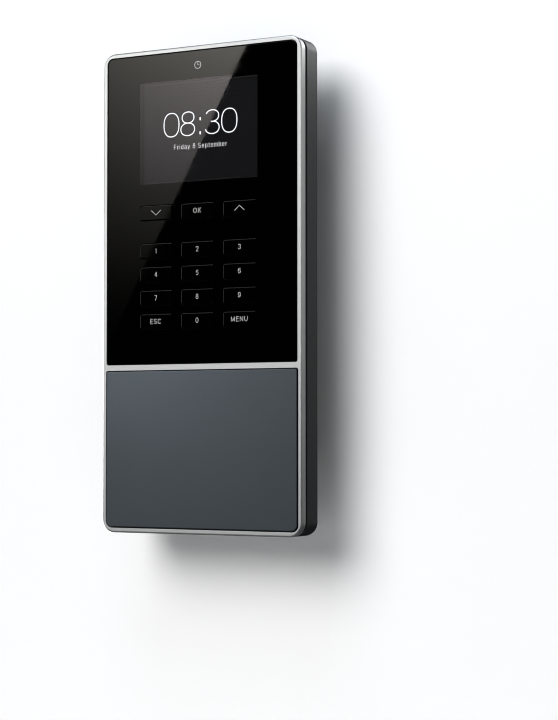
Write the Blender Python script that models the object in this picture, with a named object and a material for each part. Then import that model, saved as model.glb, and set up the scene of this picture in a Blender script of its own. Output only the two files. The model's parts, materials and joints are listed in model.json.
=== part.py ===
"""Wall-mounted punch time clock: a flat terminal with a display, fifteen keys and a card and
fob reader, hung on a steel wall bracket. Every sub-part is one closed solid.

Units are metres. +Z is up, +X is right as seen from the front, and the wall is the plane Y = 0,
so the front looks along -Y. The origin is the middle of the bracket's rear face.
Depths are measured back from the front face of the bezel.
"""

import math

import bmesh
import bpy

MM = 0.001
GAP = 0.3 * MM  # clearance between pieces that touch on the real object

# Case
CASE_WIDTH = 100 * MM
CASE_HEIGHT = 214 * MM
CASE_DEPTH = 34 * MM
CORNER_RADIUS = 6 * MM
CORNER_STEPS = 5
RIM = 2 * MM  # the metal-coloured frame seen round the glass and the reader panel
RIM_CHAMFER = 0.5 * MM
DIVIDER = 2.4 * MM
BEZEL_DEPTH = 4.2 * MM
SEAM = 0.4 * MM
GROOVE_INSET = 0.7 * MM  # the housing's front edge is set in, so the seam shows as a dark groove
GROOVE_END = 5.3 * MM
SLAB_DEPTH = 16.5 * MM
REAR_ROUND = 2 * MM
WALL = 2 * MM

# Upper window, with the glass in it, and lower window, with the reader panel in it
GLASS_HEIGHT = 137.8 * MM
GLASS_TOP = CASE_HEIGHT / 2 - RIM
PANEL_TOP = GLASS_TOP - GLASS_HEIGHT - DIVIDER
PANEL_BOTTOM = -CASE_HEIGHT / 2 + 2.2 * MM
WINDOW_WIDTH = CASE_WIDTH - 2 * RIM
OUTER_WINDOW_RADIUS = 3 * MM  # window corners next to the case's own corners
INNER_WINDOW_RADIUS = 1 * MM  # window corners next to the divider
LEDGE = 1.5 * MM

# Depth stack, front faces and back faces
LENS_FRONT, LENS_BACK = 0.3 * MM, 1.8 * MM
PRINT_FRONT, PRINT_BACK = 2.1 * MM, 2.3 * MM
LEDGE_FRONT = 2.6 * MM
LCD_FRONT, LCD_BACK = 2.6 * MM, 3.8 * MM
BACKLIGHT_FRONT, BACKLIGHT_BACK = 4.1 * MM, 6.5 * MM
ANTENNA_FRONT, ANTENNA_BACK = 2.6 * MM, 3.8 * MM
FERRITE_FRONT, FERRITE_BACK = 4.1 * MM, 4.25 * MM
FRAME_FRONT, FRAME_BACK = 4.55 * MM, 6.5 * MM
MAT_FRONT, MAT_BACK = 4.5 * MM, 6.6 * MM
KEY_BOARD_FRONT, KEY_BOARD_BACK = 6.9 * MM, 7.9 * MM
MAIN_BOARD_FRONT, MAIN_BOARD_BACK = 10 * MM, 11.6 * MM
PLINTH_BACK = 32.2 * MM
BRACKET_FRONT = 32.5 * MM

# Display and keypad share one centre line
CONTROL_X = -1.2 * MM
DISPLAY_Z = 69.8 * MM
DISPLAY_SIZE = (57.6 * MM, 43.2 * MM)
DISPLAY_BORDER = 1 * MM  # the print's window shows this much round the lit area
KEY_SIZE = (16.2 * MM, 6.4 * MM)
KEY_RADIUS = 0.8 * MM
KEY_CHAMFER = 0.25 * MM
KEY_FLANGE = 0.8 * MM
KEY_TRAVEL = 0.8 * MM
KEY_PLUNGER_RADIUS = 1.8 * MM
KEY_PLUNGER_LENGTH = 1 * MM
KEY_PITCH = (21.1 * MM, 10.4 * MM)
NUMBER_ROW_Z = 17.5 * MM
NAVIGATION_ROW_Z = 34.35 * MM
KEY_ROWS = (
    ("key_down", "key_ok", "key_up"),
    ("key_1", "key_2", "key_3"),
    ("key_4", "key_5", "key_6"),
    ("key_7", "key_8", "key_9"),
    ("key_esc", "key_0", "key_menu"),
)

# Keypad mat, keypad board and the frame that holds them
MAT_SIZE = (65 * MM, 63 * MM)
MAT_Z = 10 * MM
KEY_BOARD_SIZE = (71 * MM, 66.4 * MM)
KEY_BOARD_Z = 8.2 * MM
LCD_SIZE = (63 * MM, 50 * MM)
BACKLIGHT_SIZE = (69 * MM, 54 * MM)
FRAME_INSET = 0.6 * MM

# Main board
MAIN_BOARD_WIDTH = 88 * MM
MAIN_BOARD_TOP, MAIN_BOARD_BOTTOM = 94 * MM, -27 * MM
BOARD_SCREWS = ((-40.5, 90), (40.5, 90), (-40.5, -10), (40.5, -10))  # mm, X and Z
HOUSING_SCREWS = ((-42, 98), (42, 98), (-42, -98), (42, -98))  # mm, X and Z
ON_BOARD = MAIN_BOARD_BACK + GAP

# Plinth behind the slab, and the connector bay in it
PLINTH_SIZE = (76 * MM, 150 * MM)
PLINTH_RADIUS = 5 * MM
BAY_HALF_WIDTH = 26 * MM
BAY_TOP = -30 * MM
BAY_FLOOR = 8.5 * MM
BAY_WALL = 1.6 * MM
NOTCH_HALF_WIDTH = 8 * MM

# Sockets: width and height off the board, and the place along X
SOCKET_LENGTH = 21 * MM
ETHERNET_SIZE = (16 * MM, 13.5 * MM)
ETHERNET_X = -14 * MM
USB_SIZE = (13.6 * MM, 6.4 * MM)
USB_X = 4 * MM
POWER_SIZE = (9 * MM, 11 * MM)
POWER_X = 18.5 * MM

# Bracket
BRACKET_SIZE = (72 * MM, 146 * MM)
STEEL = 1.5 * MM
HOOK_WIDTH = 8 * MM
HOOK_PLACES = ((-22, 50), (22, 50), (-22, 5), (22, 5))  # mm, X and Z of each hook's shelf
HOOK_LIP = 6.5 * MM
LIFT = 7.5 * MM
WALL_SCREWS = ((-30, 62), (30, 62), (-30, -60), (30, -60))  # mm, X and Z
WALL_SCREW_RADIUS = 2.3 * MM
LOCK_X = 32 * MM
LOCK_DEPTH = 25 * MM


def y(depth):
    """World Y of a depth behind the front face."""
    return depth - CASE_DEPTH


def material(name, color, roughness, metallic=0.0):
    """A plain Principled material."""
    made = bpy.data.materials.new(name)
    made.use_nodes = True
    shader = made.node_tree.nodes["Principled BSDF"]
    shader.inputs["Base Color"].default_value = (*color, 1.0)
    shader.inputs["Roughness"].default_value = roughness
    shader.inputs["Metallic"].default_value = metallic
    made.diffuse_color = (*color, 1.0)
    return made


def rounded_rect(size, radii, centre=(0.0, 0.0), steps=CORNER_STEPS):
    """Outline of a rectangle with an arc at each corner: upper right, then anticlockwise."""
    if isinstance(radii, float):
        radii = (radii,) * 4
    points = []
    for corner, radius in enumerate(radii):
        start = corner * math.pi / 2
        sign_x = 1 if corner in (0, 3) else -1
        sign_z = 1 if corner in (0, 1) else -1
        across = centre[0] + sign_x * (size[0] / 2 - radius)
        up = centre[1] + sign_z * (size[1] / 2 - radius)
        for step in range(steps + 1):
            angle = start + step * math.pi / 2 / steps
            points.append((across + radius * math.cos(angle), up + radius * math.sin(angle)))
    return points


def circle(radius, centre=(0.0, 0.0), segments=16):
    """Outline of a circle, starting on its first axis."""
    turn = 2 * math.pi / segments
    return [
        (centre[0] + radius * math.cos(i * turn), centre[1] + radius * math.sin(i * turn))
        for i in range(segments)
    ]


def rectangle(low, high):
    """Outline of a plain rectangle between two corners."""
    return [(low[0], low[1]), (high[0], low[1]), (high[0], high[1]), (low[0], high[1])]


def place(point, position, axis):
    """A point of an outline at a position along the axis that the outline lies across."""
    first, second = point
    if axis == "X":
        return (position, first, second)
    if axis == "Y":
        return (first, position, second)
    return (first, second, position)


def loft(sections, axis="Y"):
    """A closed solid through outlines with equal numbers of points, given with positions."""
    count = len(sections[0][0])
    vertices = []
    for outline, position in sections:
        vertices += [place(point, position, axis) for point in outline]
    faces = [tuple(range(count))]
    for ring in range(len(sections) - 1):
        base = ring * count
        for i in range(count):
            j = (i + 1) % count
            faces.append((base + i, base + j, base + count + j, base + count + i))
    last = (len(sections) - 1) * count
    faces.append(tuple(range(last + count - 1, last - 1, -1)))
    return vertices, faces


def prism(outline, low, high, axis="Y"):
    """An outline stretched from low to high along an axis."""
    return loft([(outline, low), (outline, high)], axis)


def plate(outline, front, back):
    """An outline across the depth, between two depths."""
    return prism(outline, y(front), y(back))


def block(low, high):
    """A box between two corners, where Y is given as a depth."""
    return plate(rectangle((low[0], low[2]), (high[0], high[2])), low[1], high[1])


def mesh_of(name, shapes, paint):
    """One mesh that holds the given closed shapes, with every face pointing out."""
    vertices, faces = [], []
    for shape_vertices, shape_faces in shapes:
        first = len(vertices)
        vertices += shape_vertices
        faces += [tuple(first + index for index in face) for face in shape_faces]
    mesh = bpy.data.meshes.new(name)
    mesh.from_pydata(vertices, [], faces)
    work = bmesh.new()
    work.from_mesh(mesh)
    bmesh.ops.recalc_face_normals(work, faces=work.faces)
    work.to_mesh(mesh)
    work.free()
    mesh.materials.append(paint)
    mesh.shade_smooth()
    mesh.set_sharp_from_angle(angle=math.radians(30))
    return mesh


def solid(name, paint, base, *steps, parent=None):
    """One sub-part: a base shape, then Boolean unions and cuts in the order given."""
    made = bpy.data.objects.new(name, mesh_of(name, [base], paint))
    bpy.context.scene.collection.objects.link(made)
    made.parent = parent
    for number, (operation, shapes) in enumerate(steps):
        tool_name = f"{name}_tool_{number}"
        tool = bpy.data.objects.new(tool_name, mesh_of(tool_name, shapes, paint))
        bpy.context.scene.collection.objects.link(tool)
        tool.hide_render = True
        tool.display_type = "WIRE"
        modifier = made.modifiers.new(operation.title(), "BOOLEAN")
        modifier.operation = operation
        modifier.object = tool
    return made


def add(*shapes):
    return "UNION", shapes


def cut(*shapes):
    return "DIFFERENCE", shapes


def empty(name, parent=None):
    """A guide that groups the pieces which move together."""
    made = bpy.data.objects.new(name, None)
    bpy.context.scene.collection.objects.link(made)
    made.parent = parent
    return made


def window(top, bottom, radii, inset, front, back):
    """A plate that fills one of the bezel's two windows, less an inset all round."""
    size = (WINDOW_WIDTH - 2 * inset, top - bottom - 2 * inset)
    radii = tuple(max(radius - inset, 0.3 * MM) for radius in radii)
    outline = rounded_rect(size, radii, (0.0, (top + bottom) / 2), steps=4)
    return plate(outline, front, back)


def upper_window(inset, front, back):
    radii = (OUTER_WINDOW_RADIUS, OUTER_WINDOW_RADIUS, INNER_WINDOW_RADIUS, INNER_WINDOW_RADIUS)
    return window(GLASS_TOP, GLASS_TOP - GLASS_HEIGHT, radii, inset, front, back)


def lower_window(inset, front, back):
    radii = (INNER_WINDOW_RADIUS, INNER_WINDOW_RADIUS, OUTER_WINDOW_RADIUS, OUTER_WINDOW_RADIUS)
    return window(PANEL_TOP, PANEL_BOTTOM, radii, inset, front, back)


def key_place(row, column):
    """X and Z of a key's centre, counting rows down from the navigation keys."""
    across = CONTROL_X + (column - 1) * KEY_PITCH[0]
    if row == 0:
        return across, NAVIGATION_ROW_Z
    return across, NUMBER_ROW_Z - (row - 1) * KEY_PITCH[1]


def key_places():
    return [key_place(row, column) for row in range(len(KEY_ROWS)) for column in range(3)]


def key_holes(front, back):
    """The fifteen holes that the keys stand in."""
    size = (KEY_SIZE[0] + 2 * GAP, KEY_SIZE[1] + 2 * GAP)
    return [
        plate(rounded_rect(size, KEY_RADIUS + GAP, centre, steps=2), front, back)
        for centre in key_places()
    ]


def make_bezel(paint, parent):
    """The frame round both windows, with a ledge that carries the lens and the panel."""
    front = (CASE_WIDTH - 2 * RIM_CHAMFER, CASE_HEIGHT - 2 * RIM_CHAMFER)
    full = rounded_rect((CASE_WIDTH, CASE_HEIGHT), CORNER_RADIUS)
    base = loft([
        (rounded_rect(front, CORNER_RADIUS - RIM_CHAMFER), y(0.0)),
        (full, y(RIM_CHAMFER)),
        (full, y(BEZEL_DEPTH)),
    ])
    pockets = cut(upper_window(0.0, -1 * MM, LEDGE_FRONT), lower_window(0.0, -1 * MM, LEDGE_FRONT))
    holes = cut(upper_window(LEDGE, 0.0, 6 * MM), lower_window(LEDGE, 0.0, 6 * MM))
    solid("front_bezel", paint, base, pockets, holes, parent=parent)


def make_front(paints, parent):
    """The lens, the black print behind it and the reader panel."""
    lens = upper_window(GAP, LENS_FRONT, LENS_BACK)
    lens_holes = cut(*key_holes(0.0, 3 * MM))
    solid("front_lens", paints["clear"], lens, lens_holes, parent=parent)
    view = (DISPLAY_SIZE[0] + 2 * DISPLAY_BORDER, DISPLAY_SIZE[1] + 2 * DISPLAY_BORDER)
    display = rounded_rect(view, 0.5 * MM, (CONTROL_X, DISPLAY_Z), steps=2)
    layer = upper_window(GAP, PRINT_FRONT, PRINT_BACK)
    print_holes = cut(*key_holes(1 * MM, 3 * MM), plate(display, 1 * MM, 3 * MM))
    solid("lens_print", paints["black"], layer, print_holes, parent=parent)
    panel = lower_window(0.4 * MM, LENS_FRONT, PRINT_BACK)
    solid("rfid_panel", paints["slate"], panel, parent=parent)


def make_display(paints, parent):
    """The display glass, its backlight tray and its flat cable."""
    centre = (CONTROL_X, DISPLAY_Z)
    glass = plate(rounded_rect(LCD_SIZE, 0.5 * MM, centre, steps=1), LCD_FRONT, LCD_BACK)
    solid("lcd_glass", paints["display"], glass, parent=parent)
    outline = rounded_rect(BACKLIGHT_SIZE, 1 * MM, centre, steps=2)
    solid("lcd_backlight", paints["tin"], plate(outline, BACKLIGHT_FRONT, BACKLIGHT_BACK),
          parent=parent)
    low = DISPLAY_Z - BACKLIGHT_SIZE[1] / 2 - 0.6 * MM
    sheet = 0.2 * MM
    start = DISPLAY_Z - LCD_SIZE[1] / 2 - GAP
    plug_low, plug_top = low + 15 * MM, low + 20 * MM
    run = 8.9 * MM
    profile = [
        (3.2 * MM, start), (3.2 * MM, low), (run, low), (run, plug_low),
        (MAIN_BOARD_FRONT - GAP, plug_low), (MAIN_BOARD_FRONT - GAP, plug_top),
        (run - sheet, plug_top), (run - sheet, low + sheet),
        (3.2 * MM + sheet, low + sheet), (3.2 * MM + sheet, start),
    ]
    outline = [(y(depth), height) for depth, height in profile]
    cable = prism(outline, CONTROL_X - 10 * MM, CONTROL_X + 10 * MM, "X")
    solid("lcd_flex", paints["amber"], cable, parent=parent)


def make_reader(paints, parent):
    """The antenna board behind the lower panel, its ferrite sheet and its flat cable."""
    middle = (0.0, (PANEL_TOP + PANEL_BOTTOM) / 2)
    board = plate(rounded_rect((88 * MM, 62 * MM), 2 * MM, middle, steps=2),
                  ANTENNA_FRONT, ANTENNA_BACK)
    solid("rfid_antenna", paints["board"], board, parent=parent)
    sheet = plate(rounded_rect((70 * MM, 56 * MM), 1 * MM, middle, steps=1),
                  FERRITE_FRONT, FERRITE_BACK)
    solid("rfid_ferrite", paints["ferrite"], sheet, parent=parent)
    bend = PANEL_TOP - 7 * MM
    thick = 0.2 * MM
    run = 8.7 * MM
    low_end, top_end = MAIN_BOARD_BOTTOM + 4 * MM, MAIN_BOARD_BOTTOM + 8 * MM
    profile = [
        (FERRITE_FRONT, bend - 8 * MM), (FERRITE_FRONT, bend),
        (run - thick, bend), (run - thick, top_end), (MAIN_BOARD_FRONT - GAP, top_end),
        (MAIN_BOARD_FRONT - GAP, low_end), (run, low_end), (run, bend - thick),
        (FERRITE_FRONT + thick, bend - thick), (FERRITE_FRONT + thick, bend - 8 * MM),
    ]
    outline = [(y(depth), height) for depth, height in profile]
    solid("rfid_cable", paints["grey"], prism(outline, 37.5 * MM, 42.5 * MM, "X"), parent=parent)


def make_keypad(paints, parent):
    """The silicone mat with a cup under each key, its board and the link to the main board."""
    mat = plate(rounded_rect(MAT_SIZE, 1.5 * MM, (CONTROL_X, MAT_Z), steps=2), MAT_FRONT, MAT_BACK)
    cup_radius = KEY_PLUNGER_RADIUS + 0.7 * MM
    cup_floor = MAT_FRONT + KEY_PLUNGER_LENGTH
    cups = [plate(circle(cup_radius, centre, 12), 3 * MM, cup_floor) for centre in key_places()]
    solid("keypad_mat", paints["silicone"], mat, cut(*cups), parent=parent)
    outline = rounded_rect(KEY_BOARD_SIZE, 1 * MM, (CONTROL_X, KEY_BOARD_Z), steps=1)
    solid("keypad_board", paints["board"], plate(outline, KEY_BOARD_FRONT, KEY_BOARD_BACK),
          parent=parent)
    low = (CONTROL_X - 8 * MM, KEY_BOARD_BACK + GAP, -2 * MM)
    high = (CONTROL_X + 8 * MM, MAIN_BOARD_FRONT - GAP, 2 * MM)
    solid("keypad_link", paints["ivory"], block(low, high), parent=parent)


def make_keys(paint, parent):
    """Fifteen keys that share one mesh: cap, flange behind the lens, and plunger."""
    flange = (KEY_SIZE[0] + 1.6 * MM, KEY_SIZE[1] + 1.6 * MM)
    face = (KEY_SIZE[0] - 2 * KEY_CHAMFER, KEY_SIZE[1] - 2 * KEY_CHAMFER)
    shoulder = LEDGE_FRONT + KEY_FLANGE
    cap_outline = rounded_rect(KEY_SIZE, KEY_RADIUS, steps=2)
    flange_outline = rounded_rect(flange, KEY_RADIUS, steps=2)
    stem = [
        (KEY_PLUNGER_RADIUS * math.cos(angle), KEY_PLUNGER_RADIUS * math.sin(angle))
        for angle in (math.atan2(point[1], point[0]) for point in cap_outline)
    ]
    shape = loft([
        (rounded_rect(face, KEY_RADIUS - KEY_CHAMFER, steps=2), 0.0),
        (cap_outline, KEY_CHAMFER),
        (cap_outline, LEDGE_FRONT),
        (flange_outline, LEDGE_FRONT),
        (flange_outline, shoulder),
        (stem, shoulder),
        (stem, shoulder + KEY_PLUNGER_LENGTH),
    ])
    mesh = mesh_of("key", [shape], paint)
    for row, names in enumerate(KEY_ROWS):
        for column, name in enumerate(names):
            across, up = key_place(row, column)
            key = bpy.data.objects.new(name, mesh)
            bpy.context.scene.collection.objects.link(key)
            key.location = (across, y(0.0), up)
            key.parent = parent


def make_frame(paint, parent):
    """The inner frame: a plate that carries the display, keypad and boards on stand-offs."""
    inset = WALL + FRAME_INSET
    size = (CASE_WIDTH - 2 * inset, CASE_HEIGHT - 2 * inset)
    base = plate(rounded_rect(size, CORNER_RADIUS - inset, steps=3), FRAME_FRONT, FRAME_BACK)
    wide, narrow = BACKLIGHT_SIZE[0] / 2 + 0.6 * MM, MAT_SIZE[0] / 2 + 0.4 * MM
    step_z = MAT_Z + MAT_SIZE[1] / 2 + 0.5 * MM
    low, top = MAT_Z - MAT_SIZE[1] / 2 - 0.5 * MM, DISPLAY_Z + BACKLIGHT_SIZE[1] / 2 + 0.6 * MM
    right = [(narrow, low), (narrow, step_z), (wide, step_z), (wide, top)]
    left = [(-across, up) for across, up in reversed(right)]
    opening = plate([(CONTROL_X + across, up) for across, up in right + left], 0.0, 12 * MM)
    slot_z = PANEL_TOP - 7 * MM
    slot = block((37.1 * MM, 0.0, slot_z - 1.2 * MM), (42.9 * MM, 12 * MM, slot_z + 1 * MM))
    boards = [circle(3.2 * MM, (x * MM, z * MM), 12) for x, z in BOARD_SCREWS]
    bosses = [circle(3.5 * MM, (x * MM, z * MM), 12) for x, z in HOUSING_SCREWS]
    posts = [plate(outline, 6 * MM, MAIN_BOARD_FRONT - GAP) for outline in boards]
    posts += [plate(outline, 6 * MM, SLAB_DEPTH - WALL - GAP) for outline in bosses]
    board_holes = [circle(1.5 * MM, (x * MM, z * MM), 10) for x, z in BOARD_SCREWS]
    boss_holes = [circle(1.6 * MM, (x * MM, z * MM), 10) for x, z in HOUSING_SCREWS]
    holes = [plate(outline, 5.5 * MM, 20 * MM) for outline in board_holes]
    holes += [plate(outline, 7.4 * MM, 20 * MM) for outline in boss_holes]
    solid("inner_frame", paint, base, cut(opening, slot), add(*posts), cut(*holes), parent=parent)


def make_screw(name, paint, centre, head, seat, tip, shank_radius, axis="Y", parent=None):
    """A pan-head screw with a six-sided socket. seat is the underside of its head."""
    head_radius, head_height = head
    direction = 1 if seat > tip else -1
    top = seat + direction * head_height
    crown = top - direction * 0.4 * MM
    sections = [
        (circle(shank_radius, centre, 12), tip),
        (circle(shank_radius, centre, 12), seat),
        (circle(head_radius, centre, 12), seat),
        (circle(head_radius, centre, 12), crown),
        (circle(head_radius - 0.4 * MM, centre, 12), top),
    ]
    socket = circle(head_radius * 0.45, centre, 6)
    depth = head_height * 0.6
    drive = prism(socket, top - direction * depth, top + direction * 1 * MM, axis)
    solid(name, paint, loft(sections, axis), cut(drive), parent=parent)


def make_board_screws(paint, parent):
    for number, (x, z) in enumerate(BOARD_SCREWS, 1):
        make_screw(f"board_screw_{number}", paint, (x * MM, z * MM), (2.3 * MM, 1.6 * MM),
                   y(ON_BOARD), y(5.9 * MM), 1.15 * MM, parent=parent)


def make_housing_screws(paint, parent):
    for number, (x, z) in enumerate(HOUSING_SCREWS, 1):
        make_screw(f"housing_screw_{number}", paint, (x * MM, z * MM), (2.9 * MM, 1.8 * MM),
                   y(15.6 * MM), y(8 * MM), 1.3 * MM, parent=parent)


def make_main_board(paints, parent):
    """The main board and what is soldered to its rear face, sockets apart."""
    middle = (0.0, (MAIN_BOARD_TOP + MAIN_BOARD_BOTTOM) / 2)
    size = (MAIN_BOARD_WIDTH, MAIN_BOARD_TOP - MAIN_BOARD_BOTTOM)
    base = plate(rounded_rect(size, 1.5 * MM, middle, steps=2), MAIN_BOARD_FRONT, MAIN_BOARD_BACK)
    holes = [
        plate(circle(1.5 * MM, (x * MM, z * MM), 10), 9 * MM, 13 * MM) for x, z in BOARD_SCREWS
    ]
    solid("main_board", paints["board"], base, cut(*holes), parent=parent)
    chip = block((-9 * MM, ON_BOARD, 12 * MM), (8 * MM, ON_BOARD + 1.4 * MM, 29 * MM))
    solid("processor", paints["chip"], chip, parent=parent)
    radio = block((10 * MM, ON_BOARD, 42 * MM), (28 * MM, ON_BOARD + 3.2 * MM, 67 * MM))
    solid("wifi_module", paints["tin"], radio, parent=parent)
    buzzer = loft([
        (circle(6 * MM, (24 * MM, 20 * MM)), y(ON_BOARD)),
        (circle(6 * MM, (24 * MM, 20 * MM)), y(ON_BOARD + 7.4 * MM)),
        (circle(5.4 * MM, (24 * MM, 20 * MM)), y(ON_BOARD + 8 * MM)),
    ])
    sound_hole = plate(circle(1 * MM, (24 * MM, 20 * MM), 10), 18 * MM, 22 * MM)
    solid("buzzer", paints["chip"], buzzer, cut(sound_hole), parent=parent)


def make_clock_cell(paints, parent):
    """The coin cell that keeps the clock running, in its holder."""
    centre = (-22 * MM, 45 * MM)
    holder = plate(rounded_rect((24 * MM, 24 * MM), 3 * MM, centre, steps=2),
                   ON_BOARD, ON_BOARD + 5.2 * MM)
    floor = ON_BOARD + 1.4 * MM
    pocket = plate(circle(10.4 * MM, centre, 24), floor, 20 * MM)
    solid("cell_holder", paints["ivory"], holder, cut(pocket), parent=parent)
    cell = loft([
        (circle(9.4 * MM, centre, 24), y(floor + GAP)),
        (circle(10 * MM, centre, 24), y(floor + GAP + 0.4 * MM)),
        (circle(10 * MM, centre, 24), y(floor + GAP + 3.2 * MM)),
    ])
    solid("coin_cell", paints["tin"], cell, parent=parent)


def socket_body(size, across):
    """The block of a socket on the board's rear face, with its mouth at the bay."""
    low = (across - size[0] / 2, ON_BOARD, BAY_TOP)
    high = (across + size[0] / 2, ON_BOARD + size[1], BAY_TOP + SOCKET_LENGTH)
    return low, high


def socket_hole(size, across):
    """The opening in the bay's top wall that a socket's mouth stands in."""
    low, high = socket_body(size, across)
    hole_low = (low[0] - GAP, low[1] - GAP, BAY_TOP - 1 * MM)
    hole_high = (high[0] + GAP, high[1] + GAP, BAY_TOP + BAY_WALL + 1 * MM)
    return block(hole_low, hole_high)


def make_sockets(paints, parent):
    """Network, USB and power sockets, which all face down into the bay."""
    mouth = BAY_TOP - 1 * MM
    network = (
        block((ETHERNET_X - 6 * MM, 14.5 * MM, mouth), (ETHERNET_X + 6 * MM, 23 * MM, -16 * MM)),
        block((ETHERNET_X - 3 * MM, 13 * MM, mouth), (ETHERNET_X + 3 * MM, 15 * MM, -16 * MM)),
    )
    solid("ethernet_jack", paints["tin"], block(*socket_body(ETHERNET_SIZE, ETHERNET_X)),
          cut(network[0]), cut(network[1]), parent=parent)
    usb = block((USB_X - 6.1 * MM, 12.6 * MM, mouth), (USB_X + 6.1 * MM, 17.6 * MM, -19 * MM))
    solid("usb_port", paints["tin"], block(*socket_body(USB_SIZE, USB_X)), cut(usb), parent=parent)
    middle = (POWER_X, y(ON_BOARD + POWER_SIZE[1] / 2))
    barrel = prism(circle(3.2 * MM, middle, 20), mouth, -20 * MM, "Z")
    solid("dc_jack", paints["chip"], block(*socket_body(POWER_SIZE, POWER_X)), cut(barrel),
          parent=parent)


def housing_shell():
    """The outer shape of the slab part of the housing, with a rounded rear edge."""
    full = rounded_rect((CASE_WIDTH, CASE_HEIGHT), CORNER_RADIUS)
    lip_size = (CASE_WIDTH - 2 * GROOVE_INSET, CASE_HEIGHT - 2 * GROOVE_INSET)
    lip = rounded_rect(lip_size, CORNER_RADIUS - GROOVE_INSET)
    sections = [(lip, y(BEZEL_DEPTH + SEAM)), (lip, y(GROOVE_END)), (full, y(GROOVE_END))]
    arc_steps = 4
    for step in range(arc_steps + 1):
        angle = step * math.pi / 2 / arc_steps
        inset = REAR_ROUND * (1 - math.cos(angle))
        size = (CASE_WIDTH - 2 * inset, CASE_HEIGHT - 2 * inset)
        depth = SLAB_DEPTH - REAR_ROUND * (1 - math.sin(angle))
        sections.append((rounded_rect(size, CORNER_RADIUS - inset), y(depth)))
    return loft(sections)


def plinth(inset, front, back):
    """The box that stands the slab off the wall, less an inset all round."""
    size = (PLINTH_SIZE[0] - 2 * inset, PLINTH_SIZE[1] - 2 * inset)
    return plate(rounded_rect(size, PLINTH_RADIUS - inset, steps=3), front, back)


def hook_slots():
    """Slots in the plinth's rear wall: the hooks pass through them and the terminal hangs."""
    half = HOOK_WIDTH / 2 + 0.5 * MM
    shapes = []
    for x, z in HOOK_PLACES:
        low = (x * MM - half, 29 * MM, z * MM - STEEL - LIFT - 0.8 * MM)
        high = (x * MM + half, 33 * MM, z * MM + GAP)
        shapes.append(block(low, high))
    return shapes


def make_housing(paint, parent):
    """The rear shell: slab, plinth, connector bay, hook slots and screw holes."""
    slab_size = (CASE_WIDTH - 2 * WALL, CASE_HEIGHT - 2 * WALL)
    slab_room = plate(rounded_rect(slab_size, CORNER_RADIUS - WALL), 3 * MM, SLAB_DEPTH - WALL)
    plinth_low = -PLINTH_SIZE[1] / 2
    bay_low = (-BAY_HALF_WIDTH - BAY_WALL, BAY_FLOOR - BAY_WALL, plinth_low + 1 * MM)
    bay_high = (BAY_HALF_WIDTH + BAY_WALL, 31 * MM, BAY_TOP + BAY_WALL)
    room_low = (-BAY_HALF_WIDTH, BAY_FLOOR, plinth_low + WALL)
    room_high = (BAY_HALF_WIDTH, 35 * MM, BAY_TOP)
    lock_block = block((27 * MM, 19 * MM, plinth_low + 1 * MM), (37 * MM, 31 * MM, -66 * MM))
    lock_hole = prism(circle(1.8 * MM, (LOCK_X, y(LOCK_DEPTH)), 12), -80 * MM, -60 * MM, "Z")
    notch = block((-NOTCH_HALF_WIDTH, 22 * MM, plinth_low - 1 * MM),
                  (NOTCH_HALF_WIDTH, 35 * MM, plinth_low + 3 * MM))
    socket_holes = [
        socket_hole(ETHERNET_SIZE, ETHERNET_X),
        socket_hole(USB_SIZE, USB_X),
        socket_hole(POWER_SIZE, POWER_X),
    ]
    holes = [circle(1.6 * MM, (x * MM, z * MM), 12) for x, z in HOUSING_SCREWS]
    seats = [circle(3.3 * MM, (x * MM, z * MM), 12) for x, z in HOUSING_SCREWS]
    solid(
        "rear_housing", paint, housing_shell(),
        add(plinth(0.0, 15.5 * MM, PLINTH_BACK)),
        cut(slab_room),
        cut(plinth(WALL, 14 * MM, PLINTH_BACK - WALL)),
        add(block(bay_low, bay_high)),
        add(lock_block),
        cut(block(room_low, room_high)),
        cut(*socket_holes, *hook_slots(), lock_hole, notch),
        cut(*[plate(outline, 13 * MM, 20 * MM) for outline in holes]),
        cut(*[plate(outline, 15.3 * MM, 20 * MM) for outline in seats]),
        parent=parent,
    )


def hook(x, z):
    """A strip of the bracket bent forward, then up, behind the plinth's rear wall."""
    lip_front = PLINTH_BACK - WALL - GAP - STEEL
    lip_back = lip_front + STEEL
    root = BRACKET_FRONT + STEEL / 3
    profile = [
        (root, z - STEEL), (lip_front, z - STEEL), (lip_front, z + HOOK_LIP),
        (lip_back, z + HOOK_LIP), (lip_back, z), (root, z),
    ]
    outline = [(y(depth), height) for depth, height in profile]
    return prism(outline, x - HOOK_WIDTH / 2, x + HOOK_WIDTH / 2, "X")


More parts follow.
